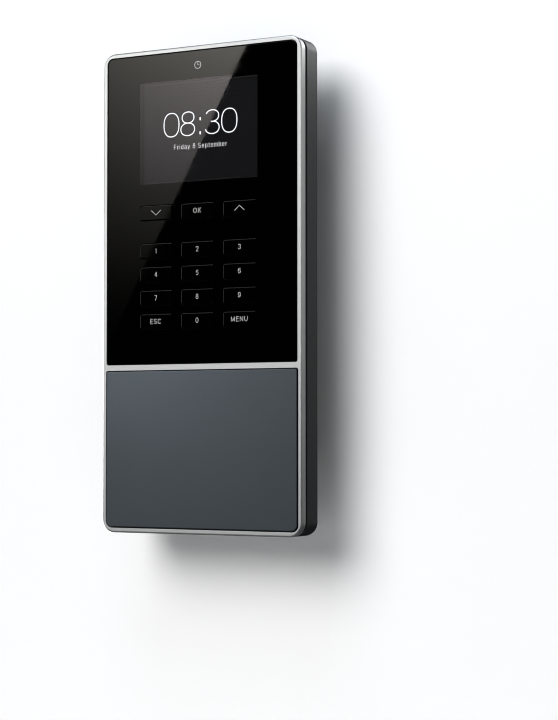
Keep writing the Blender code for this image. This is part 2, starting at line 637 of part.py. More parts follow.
def make_bracket(paints, parent):
    """The steel wall bracket: plate, four hooks, lock flange, cable window and screw holes."""
    base = plate(rounded_rect(BRACKET_SIZE, 4 * MM, steps=3), BRACKET_FRONT, CASE_DEPTH)
    hooks = [hook(x * MM, z * MM) for x, z in HOOK_PLACES]
    shelf = -PLINTH_SIZE[1] / 2 - GAP
    profile = [
        (CASE_DEPTH, shelf + 8 * MM), (CASE_DEPTH, shelf - STEEL), (20 * MM, shelf - STEEL),
        (20 * MM, shelf), (BRACKET_FRONT, shelf), (BRACKET_FRONT, shelf + 8 * MM),
    ]
    outline = [(y(depth), height) for depth, height in profile]
    flange = prism(outline, 27 * MM, 35.5 * MM, "X")
    stamped = []
    for x, z in HOOK_PLACES:
        low = (x * MM - HOOK_WIDTH / 2 - GAP, 32 * MM, z * MM)
        high = (x * MM + HOOK_WIDTH / 2 + GAP, 35 * MM, z * MM + 10.6 * MM)
        stamped.append(block(low, high))
    cable = plate(rounded_rect((44 * MM, 36 * MM), 3 * MM, (0.0, -51 * MM), steps=2),
                  32 * MM, 35 * MM)
    wall_holes = [
        plate(circle(WALL_SCREW_RADIUS, (x * MM, z * MM)), 32 * MM, 35 * MM)
        for x, z in WALL_SCREWS
    ]
    centre = (LOCK_X, y(LOCK_DEPTH))
    lock_hole = prism(circle(1.8 * MM, centre, 12), shelf - 3 * MM, shelf + 1 * MM, "Z")
    solid("wall_bracket", paints["zinc"], base, add(*hooks), add(flange), cut(*stamped),
          cut(cable, lock_hole, *wall_holes), parent=parent)
    make_screw("lock_screw", paints["steel"], centre, (2.8 * MM, 2 * MM),
               shelf - STEEL - GAP, -68 * MM, 1.5 * MM, "Z", parent)


def make_paints():
    """One material for each kind of surface."""
    return {
        "silver": material("silver_paint", (0.62, 0.63, 0.64), 0.32, 0.85),
        "charcoal": material("charcoal_plastic", (0.045, 0.05, 0.055), 0.42),
        "clear": material("clear_lens", (0.02, 0.02, 0.022), 0.05),
        "black": material("black_print", (0.004, 0.004, 0.004), 0.3),
        "slate": material("slate_panel", (0.075, 0.085, 0.095), 0.38),
        "key": material("gloss_key", (0.008, 0.008, 0.008), 0.12),
        "display": material("display_glass", (0.03, 0.03, 0.035), 0.15),
        "tin": material("tinned_steel", (0.6, 0.6, 0.58), 0.3, 1.0),
        "zinc": material("zinc_plate", (0.55, 0.56, 0.56), 0.4, 0.9),
        "steel": material("screw_steel", (0.4, 0.4, 0.41), 0.35, 1.0),
        "board": material("green_board", (0.02, 0.13, 0.06), 0.45),
        "chip": material("chip_black", (0.015, 0.015, 0.016), 0.5),
        "ivory": material("ivory_plastic", (0.65, 0.62, 0.52), 0.5),
        "ferrite": material("ferrite_sheet", (0.04, 0.04, 0.042), 0.7),
        "silicone": material("grey_silicone", (0.2, 0.2, 0.21), 0.65),
        "grey": material("grey_ribbon", (0.35, 0.35, 0.36), 0.55),
        "amber": material("amber_film", (0.5, 0.22, 0.04), 0.35),
        "frame": material("black_frame", (0.02, 0.02, 0.02), 0.55),
    }


def main():
    for existing in list(bpy.data.objects):
        bpy.data.objects.remove(existing, do_unlink=True)
    paints = make_paints()
    wall = empty("wall_side")
    terminal = empty("lift_off_side", wall)
    make_bracket(paints, wall)
    make_housing(paints["charcoal"], terminal)
    make_housing_screws(paints["steel"], terminal)
    make_bezel(paints["silver"], terminal)
    make_front(paints, terminal)
    make_display(paints, terminal)
    make_reader(paints, terminal)
    make_keypad(paints, terminal)
    make_frame(paints["frame"], terminal)
    make_main_board(paints, terminal)
    make_clock_cell(paints, terminal)
    make_sockets(paints, terminal)
    make_board_screws(paints["steel"], terminal)
    make_keys(paints["key"], terminal)


main()
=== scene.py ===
"""Looks of a wall-mounted punch time clock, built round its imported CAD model.

Units are metres in the CAD model's own frame: +Z is up, +X is right as seen from the front, and
the wall is the plane Y = 0. Depths are measured back from the front face of the bezel.
"""

import json
import math

import bmesh
import bpy
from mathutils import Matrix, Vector


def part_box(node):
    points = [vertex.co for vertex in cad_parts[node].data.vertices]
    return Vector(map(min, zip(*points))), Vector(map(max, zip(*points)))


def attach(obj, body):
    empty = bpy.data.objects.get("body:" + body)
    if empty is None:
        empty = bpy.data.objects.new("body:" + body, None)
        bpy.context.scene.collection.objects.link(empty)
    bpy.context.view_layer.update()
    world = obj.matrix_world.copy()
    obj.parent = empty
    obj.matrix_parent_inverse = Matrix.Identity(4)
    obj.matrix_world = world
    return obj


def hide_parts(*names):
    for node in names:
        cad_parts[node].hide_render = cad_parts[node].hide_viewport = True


MM = 0.001
GAP = 0.3 * MM

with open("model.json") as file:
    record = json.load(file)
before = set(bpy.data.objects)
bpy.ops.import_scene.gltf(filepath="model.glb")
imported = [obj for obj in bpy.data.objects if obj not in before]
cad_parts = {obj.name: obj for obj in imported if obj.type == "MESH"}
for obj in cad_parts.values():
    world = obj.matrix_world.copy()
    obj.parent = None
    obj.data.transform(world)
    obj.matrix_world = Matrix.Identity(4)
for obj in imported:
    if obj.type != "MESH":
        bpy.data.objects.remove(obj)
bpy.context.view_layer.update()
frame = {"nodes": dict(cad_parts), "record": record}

# Places read from the frame
CASE_LOW, CASE_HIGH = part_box("front_bezel")
LENS_LOW, LENS_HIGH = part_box("front_lens")
PANEL_LOW, PANEL_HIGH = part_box("rfid_panel")
BRACKET_LOW, BRACKET_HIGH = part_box("wall_bracket")
LCD_LOW, LCD_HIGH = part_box("lcd_glass")
LCD_CENTRE = (LCD_LOW + LCD_HIGH) / 2
FRONT = CASE_LOW.y
CASE_SIZE = (CASE_HIGH.x - CASE_LOW.x, CASE_HIGH.z - CASE_LOW.z)

# Case details, as on the CAD model
CORNER_RADIUS = 6 * MM
WINDOW_RADIUS = 3 * MM  # window corners next to the case's own corners
DIVIDER_RADIUS = 1 * MM  # window corners next to the divider
LEDGE = 1.5 * MM
LEDGE_FRONT = 2.6 * MM
# Left, right, lower and upper gaps from the lens and panel nodes to the bezel's windows
LENS_GAPS = (0.32 * MM, 0.36 * MM, 0.24 * MM, 0.24 * MM)
PANEL_GAPS = (0.6 * MM, 0.85 * MM, 0.5 * MM, 0.32 * MM)
# How far the panel reaches past its node, in the same order
PANEL_EXTRA = (0.48 * MM, 0.0, 0.0, 0.0)
SLAB_DEPTH = 16.5 * MM
REAR_ROUND = 2 * MM
SEAM_DEPTH = 4.6 * MM
GROOVE_INSET, GROOVE_END = 0.7 * MM, 5.3 * MM
WALL = 2 * MM
PLINTH_SIZE = (76 * MM, 150 * MM)
PLINTH_RADIUS = 5 * MM
PLINTH_BACK, BEHIND = 32.2 * MM, 35 * MM  # its rear face, and a depth behind everything
BAY_HALF_WIDTH, BAY_TOP = 26 * MM, -30 * MM
BAY_FLOOR, BAY_WALL = 8.5 * MM, 1.6 * MM
NOTCH_HALF_WIDTH = 8 * MM
HOUSING_SCREWS = [f"housing_screw_{number}" for number in range(1, 5)]
SCREW_HOLE, SCREW_SEAT = 1.6 * MM, 3.3 * MM
CASE_SCREW_HEAD, LOCK_SCREW_HEAD = (2.9 * MM, 1.8 * MM), (2.8 * MM, 2 * MM)

# Keys and the marks on the front
KEY_FLANGE, KEY_RADIUS = 0.8 * MM, 0.8 * MM
INK_RISE = 0.03 * MM

# Display
DISPLAY_SIZE = (57.6 * MM, 43.2 * MM)
DISPLAY_BORDER = 1 * MM
DOT_PITCH = DISPLAY_SIZE[0] / 320

# Bracket
STEEL = 1.5 * MM
BRACKET_FRONT = 32.5 * MM
HOOK_WIDTH, HOOK_LIP, LIFT = 8 * MM, 6.5 * MM, 7.5 * MM
HOOK_PLACES = [(x * MM, z * MM) for z in (50, 5) for x in (-22, 22)]
WALL_SCREWS = [(x * MM, z * MM) for z in (62, -60) for x in (-30, 30)]
WALL_SCREW_RADIUS = 2.3 * MM
LOCK_X, LOCK_DEPTH, LOCK_HOLE = 32 * MM, 25 * MM, 1.8 * MM

# Stage
FLOOR = -0.22
CAMERA_PLACE = (0.4223, -0.7538, -0.0626)
CAMERA_LENS, SENSOR = 95.885, 36  # millimetres
CAMERA_TILT, CAMERA_TURN = 92.162, 28.019  # degrees up from straight down, and round to the left
# Two points of the glare's slanted edge on the glass, as X and Z
GLARE_TOP, GLARE_LOW = (22.7 * MM, 104.6 * MM), (-39.8 * MM, -9.5 * MM)
COOL = (0.82, 0.92, 1.0)

# Fineness of the curved shapes, and the angle from which an edge shows as sharp
CORNER_STEPS = 20
ROUND_STEPS = 6
SHARP_EDGE = 38


# Shapes

def y(depth):
    """World Y of a depth behind the front face."""
    return FRONT + depth


def four(radii):
    """A radius for each corner, from four or from one that they share."""
    return (radii,) * 4 if isinstance(radii, float) else radii


def quarter(steps=ROUND_STEPS):
    """Sine and cosine at even steps through a quarter turn."""
    angles = [step * math.pi / 2 / steps for step in range(steps + 1)]
    return [(math.sin(angle), math.cos(angle)) for angle in angles]


def smaller(size, inset):
    """A size with an inset on both sides."""
    return size[0] - 2 * inset, size[1] - 2 * inset


def rounded_rect(size, radii, centre=(0.0, 0.0), steps=CORNER_STEPS):
    """Outline of a rectangle with an arc at each corner: upper right, then anticlockwise."""
    points = []
    for corner, radius in enumerate(four(radii)):
        start = corner * math.pi / 2
        sign_x = 1 if corner in (0, 3) else -1
        sign_z = 1 if corner in (0, 1) else -1
        across = centre[0] + sign_x * (size[0] / 2 - radius)
        up = centre[1] + sign_z * (size[1] / 2 - radius)
        for step in range(steps + 1):
            angle = start + step * math.pi / 2 / steps
            points.append((across + radius * math.cos(angle), up + radius * math.sin(angle)))
    return points


def circle(radius, centre=(0.0, 0.0), segments=48):
    """Outline of a circle, starting on its first axis."""
    turn = 2 * math.pi / segments
    return [
        (centre[0] + radius * math.cos(i * turn), centre[1] + radius * math.sin(i * turn))
        for i in range(segments)
    ]


def place(point, position, axis):
    """A point of an outline at a position along the axis that the outline lies across."""
    first, second = point
    if axis == "X":
        return (position, first, second)
    if axis == "Y":
        return (first, position, second)
    return (first, second, position)


def loft(sections, axis="Y"):
    """A closed solid through outlines with equal numbers of points, given with positions."""
    count = len(sections[0][0])
    vertices = []
    for outline, position in sections:
        vertices += [place(point, position, axis) for point in outline]
    faces = [tuple(range(count))]
    for ring in range(len(sections) - 1):
        base = ring * count
        for i in range(count):
            j = (i + 1) % count
            faces.append((base + i, base + j, base + count + j, base + count + i))
    last = (len(sections) - 1) * count
    faces.append(tuple(range(last + count - 1, last - 1, -1)))
    return vertices, faces


def prism(outline, low, high, axis="Y"):
    return loft([(outline, low), (outline, high)], axis)


def plate(outline, front, back):
    """An outline across the depth, between two depths."""
    return prism(outline, y(front), y(back))


def block(low, high):
    """A box between two corners, where Y is given as a depth."""
    outline = [(low[0], low[2]), (high[0], low[2]), (high[0], high[2]), (low[0], high[2])]
    return plate(outline, low[1], high[1])


def soft_block(low, high, radius, edge, steps=4):
    """A box with rounded vertical corners and softened edges, where Y is given as a depth."""
    size = (high[0] - low[0], high[2] - low[2])
    centre = ((high[0] + low[0]) / 2, (high[2] + low[2]) / 2)
    return pillow(size, radius, centre, low[1], high[1], edge, edge, steps)


def pillow(size, radii, centre, front, back, front_round, back_round, steps=CORNER_STEPS):
    """A plate whose front and back edges are rounded."""
    sections = []
    for radius, face, turn in ((front_round, front, 1), (back_round, back, -1)):
        part = []
        for sine, cosine in quarter():
            inset = radius * (1 - sine)
            bends = tuple(max(r - inset, 0.05 * MM) for r in four(radii))
            outline = rounded_rect(smaller(size, inset), bends, centre, steps)
            part.append((outline, y(face + turn * radius * (1 - cosine))))
        sections += part if turn == 1 else part[::-1]
    return loft(sections)


def mouth(size, radii, centre, depth, flare, steps=CORNER_STEPS, front=0.0):
    """A cutter for an opening whose front edge is rounded."""
    sections = [(rounded_rect(size, radii, centre, steps), y(depth))]
    for sine, cosine in quarter():
        outset = flare * (1 - cosine)
        bends = tuple(radius + outset for radius in four(radii))
        outline = rounded_rect(smaller(size, -outset), bends, centre, steps)
        sections.append((outline, y(front + flare * (1 - sine))))
    sections.append((sections[-1][0], y(front - 1 * MM)))
    return loft(sections)


def turned(profile, centre, axis="Y", segments=48):
    """A solid of revolution through (radius, position) pairs along an axis."""
    return loft([(circle(radius, centre, segments), position) for radius, position in profile],
                axis)


def ribbon(path, width, closed, depth, thickness=0.06 * MM):
    """A flat stroke of even width along a path of (X, Z) points, with round ends."""
    samples = []
    count = len(path)
    for i, point in enumerate(path):
        before = path[i - 1] if closed or i else point
        after = path[(i + 1) % count] if closed or i < count - 1 else point
        samples.append((Vector(point), (Vector(after) - Vector(before)).normalized(), width / 2))
    if not closed:
        caps = []
        for end, sign in ((samples[0], -1), (samples[-1], 1)):
            caps.append([
                (end[0] + end[1] * sign * width / 2 * math.sin(angle), end[1],
                 max(width / 2 * math.cos(angle), 0.02 * MM))
                for angle in (step * math.pi / 12 for step in range(1, 7))
            ])
        samples = caps[0][::-1] + samples + caps[1]
    vertices = []
    for point, tangent, half in samples:
        side = Vector((-tangent.y, tangent.x)) * half
        for offset, at in ((side, depth), (-side, depth), (-side, depth + thickness),
                           (side, depth + thickness)):
            vertices.append((point.x + offset.x, y(at), point.y + offset.y))
    faces = []
    total = len(samples)
    for i in range(total if closed else total - 1):
        first, second = 4 * i, 4 * ((i + 1) % total)
        for k in range(4):
            n = (k + 1) % 4
            faces.append((first + k, first + n, second + n, second + k))
    if not closed:
        faces.append((0, 1, 2, 3))
        last = 4 * (total - 1)
        faces.append((last + 3, last + 2, last + 1, last))
    return vertices, faces


def arc(centre, radii, start, end, power=2.0, steps=28):
    """Points on part of a superellipse, between two angles in degrees."""
    points = []
    for step in range(steps + 1):
        angle = math.radians(start + (end - start) * step / steps)
        c, s = math.cos(angle), math.sin(angle)
        points.append((
            centre[0] + radii[0] * math.copysign(abs(c) ** (2 / power), c),
            centre[1] + radii[1] * math.copysign(abs(s) ** (2 / power), s),
        ))
    return points


# Objects

def mesh_of(name, shapes):
    """One mesh that holds the given closed shapes, with every face pointing out."""
    vertices, faces = [], []
    for shape_vertices, shape_faces in shapes:
        first = len(vertices)
        vertices += shape_vertices
        faces += [tuple(first + index for index in face) for face in shape_faces]
    mesh = bpy.data.meshes.new(name)
    mesh.from_pydata(vertices, [], faces)
    work = bmesh.new()
    work.from_mesh(mesh)
    bmesh.ops.recalc_face_normals(work, faces=work.faces)
    work.to_mesh(mesh)
    work.free()
    return mesh


def link(name, data):
    made = bpy.data.objects.new(name, data)
    bpy.context.scene.collection.objects.link(made)
    return made


def baked(name, shapes, steps):
    """The mesh of some shapes after a series of Boolean unions and cuts."""
    made = link(name, mesh_of(name, shapes))
    tools = []
    for operation, parts in steps:
        tool = link(f"{name}_tool", mesh_of(f"{name}_tool", parts))
        modifier = made.modifiers.new(operation.title(), "BOOLEAN")
        modifier.operation = operation
        modifier.object = tool
        tools.append(tool)
    evaluated = made.evaluated_get(bpy.context.evaluated_depsgraph_get())
    mesh = bpy.data.meshes.new_from_object(evaluated)
    for thing in [made, *tools]:
        bpy.data.objects.remove(thing)
    return mesh


def piece(name, paint, shapes, *steps, body="terminal", node=None, slot=None):
    """One piece: closed shapes, Boolean steps in the order given, then its finish and its body."""
    made = link(name, baked(name, shapes, steps) if steps else mesh_of(name, shapes))
    made.data.materials.clear()
    made.data.materials.append(paint)
    made.data.shade_smooth()
    made.data.set_sharp_from_angle(angle=math.radians(SHARP_EDGE))
    weighted = made.modifiers.new("Weighted normals", "WEIGHTED_NORMAL")
    weighted.keep_sharp = True
    weighted.weight = 100
    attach(made, body)
    if node:
        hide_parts(node)
    return made


def add(*shapes):
    return "UNION", shapes


def cut(*shapes):
    return "DIFFERENCE", shapes


def ring(centre, radii, power=2.0):
    """A closed stroke round a superellipse."""
    return arc(centre, radii, 0, 345, power, 23)


def stem(x, low=0.0, high=1.0):
    return [(x, low), (x, high)]


def glyphs():
    """Thin sans characters for capitals one unit high: width, open strokes, closed strokes."""
    bowl_s = arc((0.3, 0.75), (0.25, 0.25), 30, 262, 2, 14)
    curl_s = arc((0.3, 0.255), (0.27, 0.255), 82, -150, 2, 14)
    bowl_3 = arc((0.27, 0.755), (0.23, 0.245), 165, -80, 2, 14)
    curl_3 = arc((0.27, 0.265), (0.26, 0.265), 80, -165, 2, 14)
    arch = [arc((x, 0.46), (0.17, 0.25), 180, 0, 2, 10) for x in (0.22, 0.56)]
    return {
        "0": (0.56, [], [ring((0.28, 0.5), (0.26, 0.5), 2.3)]),
        "1": (0.3, [[(0.02, 0.78), (0.12, 0.84), (0.2, 0.98)], stem(0.21)], []),
        "2": (0.56, [arc((0.28, 0.73), (0.25, 0.27), 170, -30, 2, 14) + [(0.04, 0.0)],
                     [(0.04, 0.0), (0.54, 0.0)]], []),
        "3": (0.55, [bowl_3 + [(0.2, 0.51)], [(0.2, 0.51)] + curl_3], []),
        "4": (0.58, [stem(0.42), [(0.42, 1.0), (0.03, 0.29)], [(0.03, 0.29), (0.57, 0.29)]], []),
        "5": (0.56, [[(0.5, 1.0), (0.12, 1.0)], [(0.12, 1.0), (0.06, 0.5)],
                     arc((0.27, 0.33), (0.26, 0.33), 140, -150, 2, 16)], []),
        "6": (0.56, [arc((0.31, 0.55), (0.28, 0.45), 40, 180, 2, 12) + [(0.03, 0.32)]],
              [ring((0.28, 0.32), (0.25, 0.32))]),
        "7": (0.52, [[(0.02, 1.0), (0.5, 1.0)], [(0.5, 1.0), (0.18, 0.0)]], []),
        "8": (0.56, [], [ring((0.28, 0.755), (0.21, 0.245)), ring((0.28, 0.26), (0.25, 0.26))]),
        "9": (0.56, [arc((0.25, 0.45), (0.28, 0.45), -140, 0, 2, 12) + [(0.53, 0.68)]],
              [ring((0.28, 0.68), (0.25, 0.32))]),
        "O": (0.8, [], [ring((0.4, 0.5), (0.37, 0.5))]),
        "K": (0.68, [stem(0.05), [(0.6, 1.0), (0.05, 0.4)], [(0.24, 0.6), (0.65, 0.0)]], []),
        "E": (0.58, [stem(0.05), [(0.05, 1.0), (0.54, 1.0)], [(0.05, 0.52), (0.5, 0.52)],
                     [(0.05, 0.0), (0.56, 0.0)]], []),
        "S": (0.6, [bowl_s + curl_s], []),
        "C": (0.72, [arc((0.38, 0.5), (0.34, 0.5), 42, 318)], []),
        "M": (0.82, [stem(0.05), [(0.05, 1.0), (0.4, 0.04)], [(0.4, 0.04), (0.75, 1.0)],
                     stem(0.75)], []),
        "N": (0.7, [stem(0.05), [(0.05, 1.0), (0.64, 0.0)], stem(0.64)], []),
        "U": (0.7, [[(0.05, 1.0)] + arc((0.34, 0.32), (0.29, 0.32), 180, 360, 2, 14)
                    + [(0.63, 1.0)]], []),
        "F": (0.54, [stem(0.05), [(0.05, 1.0), (0.54, 1.0)], [(0.05, 0.52), (0.46, 0.52)]], []),
        "r": (0.3, [stem(0.05, 0.0, 0.7), arc((0.28, 0.42), (0.23, 0.28), 180, 80, 2, 8)], []),
        "i": (0.1, [stem(0.05, 0.0, 0.7), stem(0.05, 0.94, 1.0)], []),
        "d": (0.52, [stem(0.46)], [ring((0.25, 0.35), (0.21, 0.35))]),
        "a": (0.5, [[(0.43, 0.0)] + arc((0.24, 0.49), (0.19, 0.21), 0, 160, 2, 10)],
              [ring((0.23, 0.2), (0.19, 0.2))]),
        "y": (0.48, [[(0.02, 0.7), (0.25, 0.02)], [(0.46, 0.7), (0.2, -0.14), (0.06, -0.24)]], []),
        "e": (0.52, [[(0.05, 0.38), (0.46, 0.38)],
                     arc((0.25, 0.35), (0.21, 0.35), 5, 318, 2, 18)], []),
        "p": (0.52, [stem(0.05, -0.26, 0.7)], [ring((0.27, 0.35), (0.21, 0.35))]),
        "t": (0.28, [[(0.13, 0.92)] + arc((0.25, 0.12), (0.12, 0.12), 180, 270, 2, 6),
                     [(0.0, 0.7), (0.27, 0.7)]], []),
        "m": (0.78, [stem(0.05, 0.0, 0.7), arch[0] + [(0.39, 0.0)], arch[1] + [(0.73, 0.0)]], []),
        "b": (0.52, [stem(0.05)], [ring((0.27, 0.35), (0.21, 0.35))]),
        " ": (0.2, [], []),
    }


def lettering(name, text, height, stroke, centre, depth, paint, body, slot, gap=0.16):
    """Text in thin strokes on the front, centred on a point and with capitals of a height."""
    table = glyphs()
    width = sum(table[mark][0] for mark in text) + gap * (len(text) - 1)
    start = centre[0] - width * height / 2
    scale = (height - stroke) / height
    shapes = []
    for mark in text:
        wide, *strokes = table[mark]
        for closed, paths in enumerate(strokes):
            for path in paths:
                moved = [(start + px * height, centre[1] + (pz - 0.5) * height * scale)
                         for px, pz in path]
                shapes.append(ribbon(moved, stroke, bool(closed), depth))
        start += (wide + gap) * height
    return piece(name, paint, shapes, body=body, slot=slot)


# Materials

def connect(tree, target, value):
    if isinstance(value, bpy.types.NodeSocket):
        tree.links.new(value, target)
    else:
        target.default_value = value


def node(tree, kind, inputs=(), **settings):
    """A shader node with its settings, and its inputs as values or links."""
    made = tree.nodes.new("ShaderNode" + kind)
    for key, value in settings.items():
        setattr(made, key, value)
    for key, value in dict(inputs).items():
        connect(tree, made.inputs[key], value)
    return made


def span(tree, value, low, high, from_low=0.0, from_high=1.0):
    """A value mapped from one range to another."""
    ranges = {"Value": value, "From Min": from_low, "From Max": from_high,
              "To Min": low, "To Max": high}
    return node(tree, "MapRange", ranges).outputs["Result"]


def math_node(tree, operation, first, second=0.0):
    return node(tree, "Math", {0: first, 1: second}, operation=operation).outputs[0]


def mixed(tree, factor, first, second, blend="MIX"):
    """Two colours mixed by a factor."""
    inputs = {0: factor, 6: first, 7: second}
    return node(tree, "Mix", inputs, data_type="RGBA", blend_type=blend).outputs[2]


def rgb(tree, red, green, blue):
    return node(tree, "CombineColor", {0: red, 1: green, 2: blue}).outputs[0]


def noise(tree, where, size, detail=2.0, stretch=(1, 1, 1), roughness=0.5):
    """Noise with features of a given size."""
    mapping = node(tree, "Mapping", {"Vector": where, "Scale": stretch})
    inputs = {"Vector": mapping.outputs[0], "Scale": 1 / size, "Detail": detail,
              "Roughness": roughness}
    return node(tree, "TexNoise", inputs).outputs["Fac"]


def bump(tree, height, relief, strength=1.0, normal=None):
    inputs = {"Height": height, "Distance": relief, "Strength": strength}
    if normal is not None:
        inputs["Normal"] = normal
    return node(tree, "Bump", inputs).outputs["Normal"]


def edges(tree, radius):
    """1 where the surface turns over an edge, 0 on its flats."""
    soft = node(tree, "Bevel", {"Radius": radius}, samples=4).outputs["Normal"]
    true = node(tree, "NewGeometry").outputs["Normal"]
    along = node(tree, "VectorMath", {0: soft, 1: true}, operation="DOT_PRODUCT")
    return span(tree, along.outputs["Value"], 1.0, 0.0, 0.86, 0.99)


class Surface:
    """A Principled material under construction, with the pieces that most finishes share."""

    def __init__(self, name, color, roughness, metallic=0.0, **constants):
        self.material = bpy.data.materials.new(name)
        self.material.use_nodes = True
        self.tree = self.material.node_tree
        self.shader = self.tree.nodes["Principled BSDF"]
        self.where = node(self.tree, "TexCoord").outputs["Object"]
        self.color = (*color, 1.0)
        self.roughness = roughness
        self.normal = None
        self.shader.inputs["Metallic"].default_value = metallic
        for key, value in constants.items():
            self.shader.inputs[key.replace("_", " ")].default_value = value

    def drift(self, size, amount, gloss=0.0):
        """Slow changes of brightness and gloss over the surface."""
        field = noise(self.tree, self.where, size, 4.0)
        self.shade(span(self.tree, field, 1 - amount, 1 + amount, 0.3, 0.7))
        if gloss:
            self.vary(field, gloss)
        return self

    def shade(self, gain):
        """Colour multiplied by a gain that varies over the surface."""
        grey = rgb(self.tree, gain, gain, gain)
        self.color = mixed(self.tree, 1.0, self.color, grey, "MULTIPLY")

    def cells(self, size, where=None, **settings):
        """A Voronoi pattern with cells of a given size."""
        inputs = {"Vector": where or self.where, "Scale": 1 / size}
        return node(self.tree, "TexVoronoi", inputs, **settings).outputs

    def glow(self, color, strength):
        """Light of its own, in a colour that varies over the surface."""
        connect(self.tree, self.shader.inputs["Emission Color"], color)
        self.shader.inputs["Emission Strength"].default_value = strength

    def vary(self, field, amount):
        """Roughness that follows a field."""
        shift = span(self.tree, field, -amount, amount, 0.3, 0.7)
        self.roughness = math_node(self.tree, "ADD", shift, self.roughness)

    def grain(self, size, relief, gloss=0.0, detail=2.0, stretch=(1, 1, 1)):
        """Fine relief, with the gloss broken up a little by it."""
        field = noise(self.tree, self.where, size, detail, stretch)
        self.normal = bump(self.tree, field, relief, 1.0, self.normal)
        if gloss:
            self.vary(field, gloss)
        return self

    def wear(self, radius, color, amount, gloss=0.0):
        """Edges rubbed to another colour, unevenly."""
        mask = edges(self.tree, radius)
        patchy = span(self.tree, noise(self.tree, self.where, 3 * MM, 3.0), 0.2, 1.0, 0.35, 0.65)
        share = math_node(self.tree, "MULTIPLY", math_node(self.tree, "MULTIPLY", mask, patchy),
                          amount)
        self.color = mixed(self.tree, share, self.color, (*color, 1.0))
        if gloss:
            change = math_node(self.tree, "MULTIPLY", share, -gloss)
            self.roughness = math_node(self.tree, "ADD", change, self.roughness)
        return self

    def done(self):
        connect(self.tree, self.shader.inputs["Base Color"], self.color)
        connect(self.tree, self.shader.inputs["Roughness"], self.roughness)
        if self.normal is not None:
            connect(self.tree, self.shader.inputs["Normal"], self.normal)
        return self.material


def silver_paint():
    made = Surface("silver_paint", (0.695, 0.702, 0.702), 0.36, 0.85)
    flake = node(made.tree, "SeparateColor", {0: made.cells(0.09 * MM)["Color"]}).outputs[0]
    made.vary(flake, 0.03)
    made.normal = bump(made.tree, flake, 0.002 * MM, 0.6)
    made.drift(30 * MM, 0.02, 0.02).grain(0.5 * MM, 0.002 * MM)
    return made.wear(0.35 * MM, (0.8, 0.81, 0.82), 0.35, 0.06).done()


def charcoal_plastic():
    made = Surface("charcoal_plastic", (0.0185, 0.0222, 0.0238), 0.48)
    made.drift(25 * MM, 0.07, 0.03).grain(0.28 * MM, 0.018 * MM, 0.05, 3.0)
    return made.wear(0.4 * MM, (0.1, 0.105, 0.11), 0.35, 0.1).done()


def slate_panel():
    made = Surface("slate_panel", (0.0243, 0.0285, 0.0324), 0.38)
    made.drift(40 * MM, 0.03, 0.02).grain(0.16 * MM, 0.005 * MM, 0.03, 2.0)
    return made.wear(0.3 * MM, (0.15, 0.165, 0.175), 0.3, 0.08).done()


def gloss(name, color, roughness, ior):
    """Polished sheet with faint wipe marks and a very slight orange peel."""
    made = Surface(name, color, roughness, 0.0, IOR=ior)
    made.vary(noise(made.tree, made.where, 12 * MM, 5.0, (1, 1, 2.5)), 0.012)
    made.normal = bump(made.tree, noise(made.tree, made.where, 9 * MM, 0.0), 0.002 * MM, 0.5)
    return made


def gloss_key():
    made = gloss("gloss_key", (0.0003, 0.0003, 0.0003), 0.04, 1.5)
    return made.wear(0.2 * MM, (0.012, 0.012, 0.013), 0.8).done()


def clear_window():
    """Clear sheet over the display: light passes straight through and its front mirrors."""
    made = gloss("clear_window", (0.0, 0.0, 0.0), 0.02, 1.71)
    made.shader.inputs["Specular Tint"].default_value = (0.98, 0.93, 1.0, 1.0)
    material = made.done()
    tree = made.tree
    out = tree.nodes["Material Output"]
    clear = node(tree, "BsdfTransparent", {"Color": (0.92, 0.92, 0.93, 1.0)})
    both = node(tree, "AddShader", {0: clear.outputs[0], 1: made.shader.outputs[0]})
    inside = node(tree, "NewGeometry").outputs["Backfacing"]
    choice = node(tree, "MixShader", {0: inside, 1: both.outputs[0], 2: clear.outputs[0]})
    connect(tree, out.inputs["Surface"], choice.outputs[0])
    return material


def label_ink():
    made = Surface("label_ink", (0.5, 0.5, 0.49), 0.55)
    return made.drift(1.2 * MM, 0.08).grain(0.08 * MM, 0.004 * MM).done()


def black_print():
    made = Surface("black_print", (0.004, 0.004, 0.0042), 0.4)
    return made.drift(15 * MM, 0.2, 0.03).grain(0.1 * MM, 0.002 * MM).done()


def lit_display():
    """The display's dark picture area, where a little backlight leaks through each dot."""
    made = Surface("lit_display", (0.002, 0.002, 0.0025), 0.6, 0.0, Specular_IOR_Level=0.04)
    x, _, z = node(made.tree, "SeparateXYZ", {0: made.where}).outputs
    lines = []
    for value in (x, z):
        dot = math_node(made.tree, "FRACT", math_node(made.tree, "DIVIDE", value, DOT_PITCH))
        lines.append(math_node(made.tree, "LESS_THAN", dot, 0.85))
    dots = math_node(made.tree, "MULTIPLY", *lines)
    cloud = noise(made.tree, made.where, 35 * MM, 1.0)
    level = math_node(made.tree, "MULTIPLY", span(made.tree, dots, 0.9, 1.05),
                      span(made.tree, cloud, 0.95, 1.05, 0.3, 0.7))
    red = math_node(made.tree, "MULTIPLY", level, 0.96)
    green = math_node(made.tree, "MULTIPLY", level, 0.98)
    made.glow(rgb(made.tree, red, green, level), 0.0068)
    return made.done()


def lit_digits():
    made = Surface("lit_digits", (0.5, 0.5, 0.5), 0.6, 0.0, Specular_IOR_Level=0.05)
    field = span(made.tree, noise(made.tree, made.where, 2 * MM, 2.0), 0.94, 1.0, 0.3, 0.7)
    made.glow(rgb(made.tree, field, field, field), 0.72)
    return made.done()


def display_glass():
    made = Surface("display_glass", (0.004, 0.004, 0.005), 0.2)
    return made.drift(20 * MM, 0.1, 0.02).grain(0.2 * MM, 0.001 * MM).done()


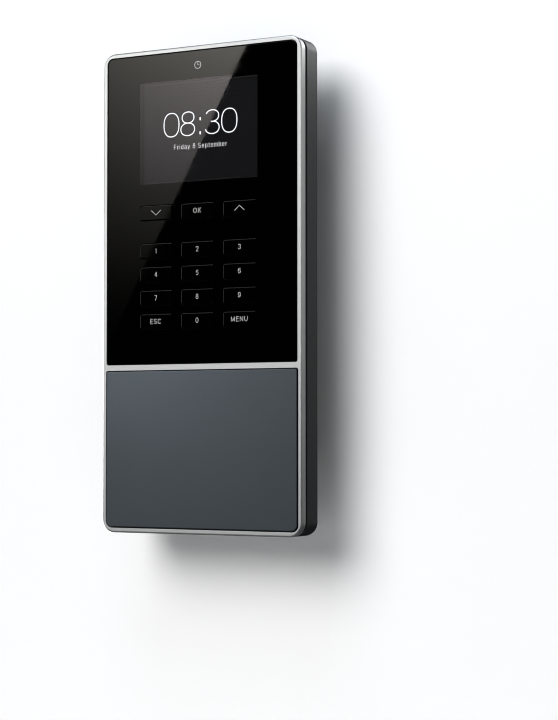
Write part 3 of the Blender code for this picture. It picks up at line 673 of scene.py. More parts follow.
def zinc_plate():
    """Galvanised sheet: crystals a few millimetres across, then faint rolling lines."""
    made = Surface("zinc_plate", (0.58, 0.59, 0.6), 0.4, 0.8)
    crystal = node(made.tree, "SeparateColor", {0: made.cells(3 * MM)["Color"]}).outputs[1]
    made.shade(span(made.tree, crystal, 0.86, 1.08))
    made.vary(crystal, 0.06)
    made.drift(18 * MM, 0.06, 0.03).grain(0.15 * MM, 0.004 * MM, 0.03, 2.0, (1, 1, 0.05))
    return made.wear(0.5 * MM, (0.75, 0.76, 0.77), 0.5, 0.1).done()


def machined(name, color, roughness):
    """Turned or rolled metal with fine marks and a little staining."""
    made = Surface(name, color, roughness, 1.0)
    made.drift(4 * MM, 0.12, 0.06).grain(0.06 * MM, 0.003 * MM, 0.05, 2.0, (1, 1, 0.2))
    return made.wear(0.25 * MM, tuple(min(1.4 * c, 1.0) for c in color), 0.4, 0.08).done()


def moulded(name, color, roughness, size=0.2 * MM, relief=0.008 * MM):
    """Moulded plastic or rubber with an even fine texture."""
    made = Surface(name, color, roughness)
    made.drift(12 * MM, 0.08, 0.04).grain(size, relief, 0.05, 3.0)
    return made.wear(0.3 * MM, tuple(min(1.6 * c + 0.01, 1.0) for c in color), 0.4, 0.08).done()


def circuit_board():
    """Solder mask over copper tracks, with tinned pads."""
    made = Surface("circuit_board", (0.012, 0.10, 0.045), 0.32)
    tree = made.tree
    flat = node(tree, "Mapping", {"Vector": made.where, "Scale": (1, 0, 1)}).outputs[0]
    reach = made.cells(9 * MM, flat, distance="MANHATTAN")["Distance"]
    rings = math_node(tree, "FRACT", math_node(tree, "MULTIPLY", reach, 9.0))
    track = math_node(tree, "LESS_THAN", rings, 0.4)
    pad = math_node(tree, "LESS_THAN", made.cells(2.6 * MM, flat)["Distance"], 0.17)
    made.color = mixed(tree, track, made.color, (0.02, 0.17, 0.075, 1.0))
    made.color = mixed(tree, pad, made.color, (0.62, 0.6, 0.52, 1.0))
    connect(tree, made.shader.inputs["Metallic"], pad)
    raised = math_node(tree, "MAXIMUM", math_node(tree, "MULTIPLY", track, 0.6), pad)
    made.normal = bump(tree, raised, 0.03 * MM)
    return made.drift(20 * MM, 0.06, 0.03).grain(0.12 * MM, 0.003 * MM, 0.02).done()


def ferrite_sheet():
    """Flexible ferrite: a dark film over small pre-cracked squares."""
    made = Surface("ferrite_sheet", (0.035, 0.035, 0.037), 0.55)
    border = made.cells(2 * MM, feature="DISTANCE_TO_EDGE")["Distance"]
    crack = span(made.tree, border, 0.0, 1.0, 0.0, 0.06)
    made.normal = bump(made.tree, crack, 0.02 * MM)
    return made.drift(10 * MM, 0.15, 0.05).grain(0.1 * MM, 0.003 * MM).done()


def striped(name, color, stripe, roughness, pitch):
    """A flat cable or film with conductors side by side along X."""
    made = Surface(name, color, roughness)
    x = node(made.tree, "SeparateXYZ", {0: made.where}).outputs[0]
    wave = math_node(made.tree, "FRACT", math_node(made.tree, "DIVIDE", x, pitch))
    line = math_node(made.tree, "LESS_THAN", wave, 0.5)
    made.color = mixed(made.tree, line, made.color, (*stripe, 1.0))
    made.normal = bump(made.tree, line, 0.03 * MM)
    return made.drift(8 * MM, 0.08, 0.04).grain(0.1 * MM, 0.002 * MM).done()


def make_paints():
    """One material for each kind of surface."""
    return {
        "silver": silver_paint(),
        "charcoal": charcoal_plastic(),
        "slate": slate_panel(),
        "printed": gloss("printed_glass", (0.0002, 0.0002, 0.0002), 0.02, 1.52).done(),
        "clear": clear_window(),
        "key": gloss_key(),
        "ink": label_ink(),
        "black": black_print(),
        "field": lit_display(),
        "digits": lit_digits(),
        "lcd": display_glass(),
        "zinc": zinc_plate(),
        "steel": machined("screw_steel", (0.42, 0.42, 0.43), 0.32),
        "tin": machined("tinned_steel", (0.62, 0.62, 0.6), 0.28),
        "gold": machined("gold_contacts", (0.85, 0.62, 0.28), 0.25),
        "board": circuit_board(),
        "ferrite": ferrite_sheet(),
        "ribbon": striped("grey_ribbon", (0.35, 0.35, 0.36), (0.42, 0.42, 0.43), 0.5, 1 * MM),
        "film": striped("amber_film", (0.42, 0.17, 0.03), (0.6, 0.28, 0.08), 0.3, 0.5 * MM),
        "silicone": moulded("grey_silicone", (0.2, 0.2, 0.21), 0.6, 0.3 * MM, 0.006 * MM),
        "ivory": moulded("ivory_plastic", (0.62, 0.59, 0.5), 0.45),
        # The inner frame's black material, also used as the painted shade inside the bezel's pockets.
        "frame": moulded("black_frame", (0.02, 0.02, 0.02), 0.5),
        "chip": moulded("chip_black", (0.016, 0.016, 0.017), 0.45, 0.1 * MM, 0.004 * MM),
    }


# Front of the terminal

def window(low, high, radii, gaps):
    """Size, corner radii and centre of an outline round a node, with gaps on its four sides."""
    left, right, below, above = gaps
    size = (high.x - low.x + left + right, high.z - low.z + below + above)
    centre = ((low.x + high.x - left + right) / 2, (low.z + high.z - below + above) / 2)
    return size, radii, centre


def corner_radii(upper, lower, inset=0.0):
    """Radii of an outline's upper and lower corners, for a piece set in from a window."""
    return (upper - inset,) * 2 + (lower - inset,) * 2


UPPER = window(LENS_LOW, LENS_HIGH, corner_radii(WINDOW_RADIUS, DIVIDER_RADIUS), LENS_GAPS)
LOWER = window(PANEL_LOW, PANEL_HIGH, corner_radii(DIVIDER_RADIUS, WINDOW_RADIUS), PANEL_GAPS)
SHEET = window(LENS_LOW, LENS_HIGH, corner_radii(WINDOW_RADIUS, DIVIDER_RADIUS, GAP), (0.0,) * 4)
PANEL = window(PANEL_LOW, PANEL_HIGH, corner_radii(DIVIDER_RADIUS, WINDOW_RADIUS, GAP), PANEL_EXTRA)


def shrunk(opening, inset):
    """A window's size, radii and centre with an inset all round."""
    size, radii, centre = opening
    return smaller(size, inset), tuple(max(r - inset, 0.3 * MM) for r in radii), centre


def make_bezel(paint, shade):
    """The frame round both windows, softly crowned, with painted shade inside its pockets: their
    deeper walls take a black material.

    Only the left wall of the lower pocket, which shows lit, stays silver.
    """
    back = CASE_HIGH.y - FRONT
    base = pillow(CASE_SIZE, CORNER_RADIUS, (0.0, 0.0), 0.0, back, 0.8 * MM, 0.6 * MM)
    pockets = [mouth(*opening, LEDGE_FRONT, 0.16 * MM) for opening in (UPPER, LOWER)]
    holes = [
        plate(rounded_rect(*shrunk(opening, LEDGE)), 1 * MM, back + 1 * MM)
        for opening in (UPPER, LOWER)
    ]
    bezel = piece("bezel", paint, [base], cut(*pockets), cut(*holes), node="front_bezel",
                  slot="silver_paint")
    bezel.data.materials.append(shade)
    # Painted shade: pocket faces deeper than 0.2 mm take the black material, except the lower
    # pocket's left wall, which shows lit and stays silver.
    for face in bezel.data.polygons:
        inside = abs(face.center.x) < CASE_SIZE[0] / 2 - LEDGE
        inside = inside and abs(face.center.z) < CASE_SIZE[1] / 2 - LEDGE
        lit_left_wall = face.normal.x > 0.3 and face.center.z < PANEL_HIGH.z
        if inside and not lit_left_wall and y(0.2 * MM) < face.center.y < y(back - 0.1 * MM):
            face.material_index = 1


def key_nodes():
    """The keys' node names with the marks that they carry, row by row."""
    marks = ["down", "OK", "up", *"123456789", "ESC", "0", "MENU"]
    return [(f"key_{mark.lower()}", mark) for mark in marks]


def key_rect(name):
    """A key's face: size and centre, from its cap in the frame."""
    low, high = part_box(name)
    size = smaller((high.x - low.x, high.z - low.z), KEY_FLANGE)
    return size, ((low.x + high.x) / 2, (low.z + high.z) / 2)


def make_lens(paints):
    """The sheet over display and keypad: gloss black, and clear over the display."""
    front, back = LENS_LOW.y - FRONT, LENS_HIGH.y - FRONT
    size, radii, centre = SHEET
    base = pillow(size, radii, centre, front, back, 0.2 * MM, 0.1 * MM)
    holes = []
    for name, _ in key_nodes():
        key_size, key_centre = key_rect(name)
        hole = smaller(key_size, -GAP)
        holes.append(mouth(hole, KEY_RADIUS + GAP, key_centre, 3 * MM, 0.04 * MM, 8, front))
    lens = piece("lens", paints["printed"], [base], cut(*holes), node="front_lens",
                 slot="clear_lens")
    lens.data.materials.append(paints["clear"])
    half = [length / 2 + DISPLAY_BORDER for length in DISPLAY_SIZE]
    work = bmesh.new()
    work.from_mesh(lens.data)
    for axis, middle, reach in ((0, LCD_CENTRE.x, half[0]), (2, LCD_CENTRE.z, half[1])):
        for sign in (-1, 1):
            point, direction = Vector(), Vector()
            point[axis] = middle + sign * reach
            direction[axis] = 1.0
            everything = work.verts[:] + work.edges[:] + work.faces[:]
            bmesh.ops.bisect_plane(work, geom=everything, plane_co=point, plane_no=direction)
    for face in work.faces:
        middle = face.calc_center_median() - LCD_CENTRE
        if abs(middle.x) < half[0] and abs(middle.z) < half[1]:
            face.material_index = 1
    work.to_mesh(lens.data)
    work.free()


def make_print(paint):
    """The black layer behind the lens, open at the display and the keys."""
    low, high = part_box("lens_print")
    view = [length + 2 * DISPLAY_BORDER for length in DISPLAY_SIZE]
    front, back = low.y - FRONT, high.y - FRONT
    holes = [plate(rounded_rect(view, 0.5 * MM, (LCD_CENTRE.x, LCD_CENTRE.z), 6), 1 * MM, 3 * MM)]
    for name, _ in key_nodes():
        size, centre = key_rect(name)
        outline = rounded_rect(smaller(size, -GAP), KEY_RADIUS + GAP, centre, 8)
        holes.append(plate(outline, 1 * MM, 3 * MM))
    base = plate(rounded_rect(*SHEET), front, back)
    piece("print_layer", paint, [base], cut(*holes), node="lens_print", slot="black_print")


def make_panel(paint):
    """The satin panel over the reader, with a rounded front edge."""
    front, back = PANEL_LOW.y - FRONT, PANEL_HIGH.y - FRONT
    base = pillow(*PANEL, front, back, 0.35 * MM, 0.1 * MM)
    piece("reader_panel", paint, [base], node="rfid_panel", slot="slate_panel")


def chevron(name, centre, turn, depth, paint, body):
    """A wide V that points up or down."""
    half, rise = 2.35 * MM, 1.05 * MM
    path = [
        (centre[0] - half, centre[1] - turn * rise),
        (centre[0], centre[1] + turn * rise),
        (centre[0] + half, centre[1] - turn * rise),
    ]
    piece(name, paint, [ribbon(path, 0.23 * MM, False, depth - INK_RISE)], body=body,
          slot="gloss_key")


def make_keys(paints):
    """Fifteen gloss caps with flange and plunger, and the mark on each."""
    key_body = {
        name: body
        for body, members in frame["record"]["behaviour"]["bodies"].items()
        for name in members
    }
    for name, mark in key_nodes():
        low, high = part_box(name)
        size, centre = key_rect(name)
        body = key_body[name]
        shoulder = LEDGE_FRONT + 0.8 * MM
        cap = pillow(size, KEY_RADIUS, centre, 0.0, LEDGE_FRONT + 0.2 * MM, 0.3 * MM, 0.05 * MM, 8)
        flange = pillow(smaller(size, -KEY_FLANGE), KEY_RADIUS, centre, LEDGE_FRONT, shoulder,
                        0.08 * MM, 0.08 * MM, 8)
        tip = high.y - FRONT
        plunger = turned([(1.8 * MM, y(LEDGE_FRONT + 0.4 * MM)), (1.8 * MM, y(tip - 0.2 * MM)),
                          (1.6 * MM, y(tip))], centre)
        piece(name.replace("key", "cap"), paints["key"], [cap], add(flange), add(plunger),
              body=body, node=name, slot="gloss_key")
        label = name.replace("key", "label")
        if mark in ("up", "down"):
            chevron(label, centre, 1 if mark == "up" else -1, low.y - FRONT, paints["ink"], body)
            continue
        lettering(label, mark, 2.25 * MM, 0.21 * MM, centre, low.y - FRONT - INK_RISE,
                  paints["ink"], body, "gloss_key", 0.28)


# Display

def digit_strokes(mark, width, height, stroke):
    """A digit's centre lines as (path, closed) pairs round the middle of its box."""
    half_x, half_z = (width - stroke) / 2, (height - stroke) / 2
    if mark == "0":
        return [(arc((0, 0), (half_x, half_z), 0, 352, 2.35, 60), True)]
    if mark == "8":
        top = (0.86 * half_x, 0.47 * half_z)
        low = (half_x, 0.53 * half_z)
        return [
            (arc((0.04 * half_x, half_z - top[1]), top, 0, 352, 2.2, 48), True),
            (arc((0, low[1] - half_z), low, 0, 352, 2.15, 48), True),
        ]
    top = (0.93 * half_x, 0.485 * half_z)
    low = (half_x, 0.515 * half_z)
    upper = arc((0, half_z - top[1]), top, 158, -90, 2.15, 44)
    lower = arc((0, low[1] - half_z), low, 90, -165, 2.15, 44)
    bar = (-0.15 * half_x, half_z - 2 * top[1])
    return [(upper + [bar], False), ([bar] + lower, False)]


def make_display(paints):
    """The picture area and what it shows: the time of day and the date."""
    centre = (LCD_CENTRE.x, LCD_CENTRE.z)
    face = LCD_LOW.y - FRONT
    field = plate(rounded_rect(DISPLAY_SIZE, 0.4 * MM, centre, 6), face - 0.08 * MM, face)
    piece("display_field", paints["field"], [field], slot="display_glass")
    depth = face - 0.14 * MM
    top, height, stroke = 8.8 * MM, 10.9 * MM, 0.48 * MM
    digits = (("0", -14.7, 8.2), ("8", -6.35, 7.5), ("3", 6.1, 7.4), ("0", 14.65, 8.1))
    for number, (mark, across, width) in enumerate(digits, 1):
        middle = (centre[0] + across * MM, centre[1] + top - height / 2)
        shapes = []
        for path, closed in digit_strokes(mark, width * MM, height, stroke):
            moved = [(middle[0] + px, middle[1] + pz) for px, pz in path]
            shapes.append(ribbon(moved, stroke, closed, depth))
        piece(f"time_digit_{number}", paints["digits"], shapes, slot="display_glass")
    dots = []
    for up in (5.1, -1.1):
        at = (centre[0], centre[1] + up * MM)
        dots.append(plate(rounded_rect((0.7 * MM, 1.5 * MM), 0.3 * MM, at, 6), depth,
                          depth + 0.06 * MM))
    piece("time_colon", paints["digits"], dots, slot="display_glass")
    lettering("date_line", "Friday 8 September", 2.2 * MM, 0.15 * MM,
              (centre[0], centre[1] - 6.6 * MM), depth, paints["digits"], "terminal",
              "display_glass", 0.25)


def make_glyph(paint):
    """A plain clock face with two hands, printed above the display."""
    centre = (LCD_CENTRE.x, LCD_CENTRE.z + 28.5 * MM)
    depth = LENS_LOW.y - FRONT - INK_RISE
    rim = ribbon(arc(centre, (1.55 * MM, 1.55 * MM), 0, 352, 2.0, 48), 0.26 * MM, True, depth)
    hands = ribbon([(centre[0], centre[1] + 1.0 * MM), centre, (centre[0] + 0.75 * MM, centre[1])],
                   0.24 * MM, False, depth)
    piece("clock_mark", paint, [rim, hands], slot="black_print")


# Rear of the terminal

def housing_shell():
    """The outer shape of the slab part of the housing, with a rounded rear edge."""
    full = rounded_rect(CASE_SIZE, CORNER_RADIUS)
    lip = rounded_rect(smaller(CASE_SIZE, GROOVE_INSET), CORNER_RADIUS - GROOVE_INSET)
    soft = 0.25 * MM
    shy = rounded_rect(smaller(CASE_SIZE, soft), CORNER_RADIUS - soft)
    sections = [(lip, y(SEAM_DEPTH)), (lip, y(GROOVE_END)), (shy, y(GROOVE_END)),
                (full, y(GROOVE_END + soft))]
    for sine, cosine in quarter(8):
        inset = REAR_ROUND * (1 - cosine)
        outline = rounded_rect(smaller(CASE_SIZE, inset), CORNER_RADIUS - inset)
        sections.append((outline, y(SLAB_DEPTH - REAR_ROUND * (1 - sine))))
    return loft(sections)


def plinth(inset, front, back):
    """The block behind the slab, or the room inside it, between two depths."""
    outline = rounded_rect(smaller(PLINTH_SIZE, inset), PLINTH_RADIUS - inset, steps=12)
    return plate(outline, front, back)


def socket_hole(name):
    """The opening in the bay's top wall that a socket's mouth stands in."""
    low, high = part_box(name)
    hole_low = (low.x - GAP, low.y - FRONT - GAP, BAY_TOP - 1 * MM)
    hole_high = (high.x + GAP, high.y - FRONT + GAP, BAY_TOP + BAY_WALL + 1 * MM)
    return block(hole_low, hole_high)


def hook_slots():
    """Openings in the plinth's rear wall for the bracket's hooks, with room to lift."""
    half = HOOK_WIDTH / 2 + 0.5 * MM
    return [
        block((x - half, 29 * MM, z - STEEL - LIFT - 0.8 * MM), (x + half, 33 * MM, z + GAP))
        for x, z in HOOK_PLACES
    ]


def screw_centre(name):
    """The axis of a screw that runs front to back."""
    low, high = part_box(name)
    return (low.x + high.x) / 2, (low.z + high.z) / 2


def make_housing(paint):
    """The rear shell: slab, plinth, connector bay, hook slots and screw holes."""
    room = rounded_rect(smaller(CASE_SIZE, WALL), CORNER_RADIUS - WALL)
    slab_room = plate(room, 3 * MM, SLAB_DEPTH - WALL)
    plinth_low = -PLINTH_SIZE[1] / 2
    bay_low = (-BAY_HALF_WIDTH - BAY_WALL, BAY_FLOOR - BAY_WALL, plinth_low + 1 * MM)
    bay_high = (BAY_HALF_WIDTH + BAY_WALL, 31 * MM, BAY_TOP + BAY_WALL)
    room_low = (-BAY_HALF_WIDTH, BAY_FLOOR, plinth_low + WALL)
    room_high = (BAY_HALF_WIDTH, BEHIND, BAY_TOP)
    lock_block = block((27 * MM, 19 * MM, plinth_low + 1 * MM), (37 * MM, 31 * MM, -66 * MM))
    lock_hole = prism(circle(LOCK_HOLE, (LOCK_X, y(LOCK_DEPTH))), -80 * MM, -60 * MM, "Z")
    notch = block((-NOTCH_HALF_WIDTH, 22 * MM, plinth_low - 1 * MM),
                  (NOTCH_HALF_WIDTH, BEHIND, plinth_low + 3 * MM))
    sockets = [socket_hole(name) for name in ("ethernet_jack", "usb_port", "dc_jack")]
    centres = [screw_centre(name) for name in HOUSING_SCREWS]
    holes = [plate(circle(SCREW_HOLE, centre), 13 * MM, 20 * MM) for centre in centres]
    seats = [plate(circle(SCREW_SEAT, centre), 15.3 * MM, 20 * MM) for centre in centres]
    piece(
        "housing", paint, [housing_shell()],
        add(plinth(0.0, 15.5 * MM, PLINTH_BACK)),
        cut(slab_room),
        cut(plinth(WALL, 14 * MM, PLINTH_BACK - WALL)),
        add(block(bay_low, bay_high)),
        add(lock_block),
        cut(block(room_low, room_high)),
        cut(*sockets, *hook_slots(), lock_hole, notch),
        cut(*holes),
        cut(*seats),
        node="rear_housing", slot="charcoal_plastic",
    )


def make_screw(name, node_name, paint, centre, head, seat, tip, radius, axis="Y", body="terminal"):
    """A screw with a domed head, a six-sided socket and a ridged shank."""
    head_radius, head_height = head
    way = 1 if seat > tip else -1
    profile = [(radius * 0.55, tip)]
    pitch = 0.8 * MM
    length = abs(seat - tip)
    for turn in range(int(length / pitch) - 1):
        base = tip + way * (turn + 0.5) * pitch
        profile += [(radius * 0.86, base), (radius, base + way * pitch * 0.4),
                    (radius, base + way * pitch * 0.5)]
    profile += [(radius * 0.86, seat), (head_radius - 0.05 * MM, seat),
                (head_radius, seat + way * 0.1 * MM)]
    profile += [(head_radius * (0.62 + 0.38 * cosine),
                 seat + way * head_height * (0.45 + 0.55 * sine)) for sine, cosine in quarter()]
    top = seat + way * head_height
    depth = head_height * 0.6
    drive = loft([
        (circle(head_radius * 0.43, centre, 6), top - way * depth),
        (circle(head_radius * 0.45, centre, 6), top - way * 0.1 * MM),
        (circle(head_radius * 0.52, centre, 6), top + way * 0.1 * MM),
    ], axis)
    piece(name, paint, [turned(profile, centre, axis)], cut(drive), body=body, node=node_name,
          slot="screw_steel")


def make_screws(paint):
    """Four screws that hold the housing, and the lock screw in the bracket's flange."""
    for number, name in enumerate(HOUSING_SCREWS, 1):
        low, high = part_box(name)
        make_screw(f"case_screw_{number}", name, paint, screw_centre(name),
                   CASE_SCREW_HEAD, y(15.6 * MM), low.y, 1.3 * MM)
    low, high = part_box("lock_screw")
    make_screw("security_screw", "lock_screw", paint, (LOCK_X, y(LOCK_DEPTH)),
               LOCK_SCREW_HEAD, low.z + LOCK_SCREW_HEAD[1], high.z, 1.5 * MM, "Z", "bracket")


def hook(x, z):
    """A strip of the bracket bent forward, then up, behind the plinth's rear wall."""
    lip_front = PLINTH_BACK - WALL - GAP - STEEL
    lip_back = lip_front + STEEL
    root = BRACKET_FRONT + STEEL / 3
    bend = 1.2 * MM
    outer = [(lip_front + bend * (1 - sine), z - STEEL + bend * (1 - cosine))
             for sine, cosine in quarter()]
    profile = [(root, z - STEEL)] + outer + [
        (lip_front, z + HOOK_LIP - 0.5 * MM), (lip_front + 0.5 * MM, z + HOOK_LIP),
        (lip_back - 0.3 * MM, z + HOOK_LIP), (lip_back, z + HOOK_LIP - 0.3 * MM),
        (lip_back, z), (root, z),
    ]
    outline = [(y(depth), height) for depth, height in profile]
    return prism(outline, x - HOOK_WIDTH / 2, x + HOOK_WIDTH / 2, "X")


def make_bracket(paint):
    """The steel wall bracket: plate, four hooks, lock flange, cable window and screw holes."""
    size = (72 * MM, 146 * MM)
    back = BRACKET_HIGH.y - FRONT
    base = pillow(size, 4 * MM, (0.0, 0.0), BRACKET_FRONT, back, 0.15 * MM, 0.25 * MM, 12)
    shelf = -PLINTH_SIZE[1] / 2 - GAP
    flange_front = BRACKET_LOW.y - FRONT
    outer = 1.4 * MM
    corner = [(back - outer * (1 - cosine), shelf - STEEL + outer * (1 - sine))
              for sine, cosine in quarter()]
    profile = [(back, shelf + 8 * MM)] + corner + [
        (flange_front, shelf - STEEL), (flange_front, shelf),
        (BRACKET_FRONT, shelf), (BRACKET_FRONT, shelf + 8 * MM),
    ]
    outline = [(y(depth), height) for depth, height in profile]
    flange = prism(outline, 27 * MM, 35.5 * MM, "X")
    half = HOOK_WIDTH / 2 + GAP
    stamped = [
        plate(rounded_rect((2 * half, 10.6 * MM), (0.8 * MM, 0.8 * MM, 0.1 * MM, 0.1 * MM),
                           (x, z + 5.3 * MM), 5), 32 * MM, BEHIND)
        for x, z in HOOK_PLACES
    ]
    cable = plate(rounded_rect((44 * MM, 36 * MM), 3 * MM, (0.0, -51 * MM), 8), 32 * MM, BEHIND)
    screws = [
        turned([(WALL_SCREW_RADIUS + 0.9 * MM, y(32 * MM)),
                (WALL_SCREW_RADIUS + 0.4 * MM, y(BRACKET_FRONT)),
                (WALL_SCREW_RADIUS, y(BRACKET_FRONT + 0.4 * MM)),
                (WALL_SCREW_RADIUS, y(BEHIND))], centre)
        for centre in WALL_SCREWS
    ]
    lock_hole = prism(circle(LOCK_HOLE, (LOCK_X, y(LOCK_DEPTH))), shelf - 3 * MM, shelf + 1 * MM,
                      "Z")
    piece("bracket_plate", paint, [base], add(*[hook(x, z) for x, z in HOOK_PLACES]),
          add(flange), cut(*stamped), cut(cable, lock_hole, *screws), body="bracket",
          node="wall_bracket", slot="zinc_plate")


# Sockets

def box_corners(name):
    """A node's corners, with Y as a depth."""
    return [(corner.x, corner.y - FRONT, corner.z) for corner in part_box(name)]


def make_ethernet(paints):
    """Network socket: folded shield, eight contacts and two lamps."""
    low, high = box_corners("ethernet_jack")
    x = (low[0] + high[0]) / 2
    mouth_z = low[2]
    key_room = block((x - 3 * MM, 13 * MM, mouth_z - 1 * MM), (x + 3 * MM, 15 * MM, -16 * MM))
    room = block((x - 6 * MM, 14.5 * MM, mouth_z - 1 * MM), (x + 6 * MM, 23 * MM, -16 * MM))
    shell = soft_block(low, high, 0.4 * MM, 0.3 * MM)
    piece("network_shield", paints["tin"], [shell], cut(room), cut(key_room),
          node="ethernet_jack", slot="tinned_steel")
    contacts = []
    for number in range(8):
        at = x + (number - 3.5) * 1.02 * MM
        profile = [(y(22.6 * MM), mouth_z + 3 * MM), (y(22.9 * MM), mouth_z + 3 * MM),
                   (y(20.7 * MM), mouth_z + 10 * MM), (y(20.4 * MM), mouth_z + 10 * MM)]
        contacts.append(prism(profile, at - 0.2 * MM, at + 0.2 * MM, "X"))
    piece("network_contacts", paints["gold"], contacts, slot="tinned_steel")
    lamps = [
        soft_block((x + side * 5.2 * MM - 1.3 * MM, 12.3 * MM, mouth_z - 0.12 * MM),
                   (x + side * 5.2 * MM + 1.3 * MM, 13.9 * MM, mouth_z + 1 * MM),
                   0.3 * MM, 0.1 * MM)
        for side in (-1, 1)
    ]
    piece("network_lamps", paints["ivory"], lamps, slot="ivory_plastic")


def make_usb(paints):
    """USB socket: shield with a rolled mouth, tongue and four contacts."""
    low, high = box_corners("usb_port")
    x = (low[0] + high[0]) / 2
    shell = soft_block(low, high, 0.3 * MM, 0.3 * MM)
    room = block((x - 6.1 * MM, 12.6 * MM, low[2] - 1 * MM), (x + 6.1 * MM, 17.6 * MM, -19 * MM))
    piece("usb_shield", paints["tin"], [shell], cut(room), node="usb_port", slot="tinned_steel")
    tongue = soft_block((x - 5.4 * MM, 12.9 * MM, low[2] + 1 * MM),
                        (x + 5.4 * MM, 14.6 * MM, -19.1 * MM), 0.2 * MM, 0.15 * MM)
    piece("usb_tongue", paints["chip"], [tongue], slot="chip_black")
    contacts = [
        soft_block((x + at * MM - 0.5 * MM, 14.5 * MM, low[2] + 1.6 * MM),
                   (x + at * MM + 0.5 * MM, 14.75 * MM, -19.3 * MM), 0.1 * MM, 0.05 * MM)
        for at in (-3.5, -1.0, 1.0, 3.5)
    ]
    piece("usb_contacts", paints["gold"], contacts, slot="tinned_steel")


def make_power(paints):
    """Barrel power socket with its centre pin."""
    low, high = box_corners("dc_jack")
    centre = ((low[0] + high[0]) / 2, y((low[1] + high[1]) / 2))
    shell = soft_block(low, high, 0.5 * MM, 0.3 * MM)
    hole = turned([(3.6 * MM, low[2] - 0.5 * MM), (3.5 * MM, low[2]), (3.2 * MM, low[2] + 0.4 * MM),
                   (3.2 * MM, -20 * MM)], centre, "Z")
    piece("power_socket", paints["chip"], [shell], cut(hole), node="dc_jack", slot="chip_black")
    pin = turned([(0.4 * MM, low[2] + 1.2 * MM), (0.75 * MM, low[2] + 1.6 * MM),
                  (0.75 * MM, -20.1 * MM)], centre, "Z")
    piece("power_pin", paints["tin"], [pin], slot="tinned_steel")


def dress_inner_nodes(paints):
    """Finishes for the pieces inside the case, whose shapes stay as they are."""
    finishes = {
        "lcd_glass": "lcd", "lcd_backlight": "tin", "lcd_flex": "film",
        "rfid_antenna": "board", "rfid_ferrite": "ferrite", "rfid_cable": "ribbon",
        "keypad_mat": "silicone", "keypad_board": "board", "keypad_link": "ivory",
        "inner_frame": "frame", "main_board": "board", "processor": "chip",
        "wifi_module": "tin", "buzzer": "chip", "cell_holder": "ivory", "coin_cell": "tin",
    }
    finishes.update({f"board_screw_{number}": "steel" for number in range(1, 5)})
    for name, paint in finishes.items():
        data = frame["nodes"][name].data
        data.materials.clear()
        data.materials.append(paints[paint])


# Stage

def aim(thing, target):
    thing.rotation_mode = "QUATERNION"
    thing.rotation_quaternion = (Vector(target) - thing.location).to_track_quat("-Z", "Y")


def stage_plane(name, corners, material):
    mesh = bpy.data.meshes.new(name)
    mesh.from_pydata(corners, [], [tuple(range(len(corners)))])
    mesh.materials.append(material)
    made = link(name, mesh)
    return made


def hide_from(thing, *rays):
    """Keeps a stage piece out of some kinds of ray."""
    for ray in rays:
        setattr(thing, f"visible_{ray}", False)


def make_backdrop():
    """A pale wall just behind the bracket. It shows only from the front and only to the camera."""
    made = Surface("pale_wall", (0.85, 0.845, 0.845), 1.0, 0.0, Specular_IOR_Level=0.0)
    material, tree = made.done(), made.tree
    facing_away = node(tree, "NewGeometry").outputs["Backfacing"]
    clear = node(tree, "BsdfTransparent").outputs[0]
    choice = node(tree, "MixShader", {0: facing_away, 1: made.shader.outputs[0], 2: clear})
    connect(tree, tree.nodes["Material Output"].inputs["Surface"], choice.outputs[0])
    back = BRACKET_HIGH.y + 0.3 * MM
    wall = stage_plane("backdrop", [(-3, back, FLOOR), (3, back, FLOOR), (3, back, 3), (-3, back, 3)],
                       material)
    hide_from(wall, "diffuse", "glossy", "transmission", "shadow")


def make_floor():
    half = 4
    corners = [(-half, -half, FLOOR), (half, -half, FLOOR), (half, half, FLOOR), (-half, half, FLOOR)]
    floor = stage_plane("floor", corners, Surface("pale_floor", (0.8, 0.8, 0.8), 0.8).done())
    hide_from(floor, "glossy")


def make_reflector():
    """A card off to the upper left whose slanted edge is mirrored across the glass."""
    glass = LENS_LOW.y
    eye = Vector((CAMERA_PLACE[0], 2 * glass - CAMERA_PLACE[1], CAMERA_PLACE[2]))
    distance = -1.2
    reach = (distance - eye.y) / (glass - eye.y)

    def on_card(x, z):
        """The card's point that the camera sees mirrored at a point of the glass."""
        return eye.x + reach * (x - eye.x), eye.z + reach * (z - eye.z)

    top, low = Vector(on_card(*GLARE_TOP)), Vector(on_card(*GLARE_LOW))
    along = (top - low).normalized()
    upper, lower = top + along * 0.25, low - along * 0.4
    corners = [
        (upper.x, distance, upper.y), (upper.x - 0.8, distance, upper.y),
        (lower.x - 0.5, distance, lower.y), (lower.x, distance, lower.y),
    ]
    material = bpy.data.materials.new("card_light")
    material.use_nodes = True
    tree = material.node_tree
    where = node(tree, "TexCoord").outputs["Object"]
    x, _, z = node(tree, "SeparateXYZ", {0: where}).outputs
    bottom, ceiling = on_card(0, -38 * MM)[1], on_card(0, 105 * MM)[1]
    left, right = on_card(-48 * MM, 0)[0], on_card(22 * MM, 0)[0]
    ramp = math_node(tree, "POWER", span(tree, z, 0.0, 1.0, bottom, ceiling), 2.5)
    slope = span(tree, x, 1.0, 2.0, left, right)
    strength = math_node(tree, "MULTIPLY", math_node(tree, "MULTIPLY", ramp, slope), 1.22)
    light = node(tree, "Emission", {"Color": (1.0, 0.975, 0.89, 1.0), "Strength": strength})
    connect(tree, tree.nodes["Material Output"].inputs["Surface"], light.outputs[0])
    card = stage_plane("reflector", corners, material)
    hide_from(card, "camera", "diffuse", "transmission", "shadow")


def lamp(name, kind, location, target, power, only=None, **rays):
    """A light aimed at a point. It may light only some pieces, and some kinds of ray miss it."""
    data = bpy.data.lights.new(name, kind)
    data.energy = power
    made = link(name, data)
    made.location = location
    aim(made, target)
    made.visible_camera = False
    for ray, shown in rays.items():
        setattr(made, f"visible_{ray}", shown)
    if only:
        receivers = bpy.data.collections.new(f"{name}_receivers")
        for lit in only:
            receivers.objects.link(bpy.data.objects[lit])
        made.light_linking.receiver_collection = receivers
    return data


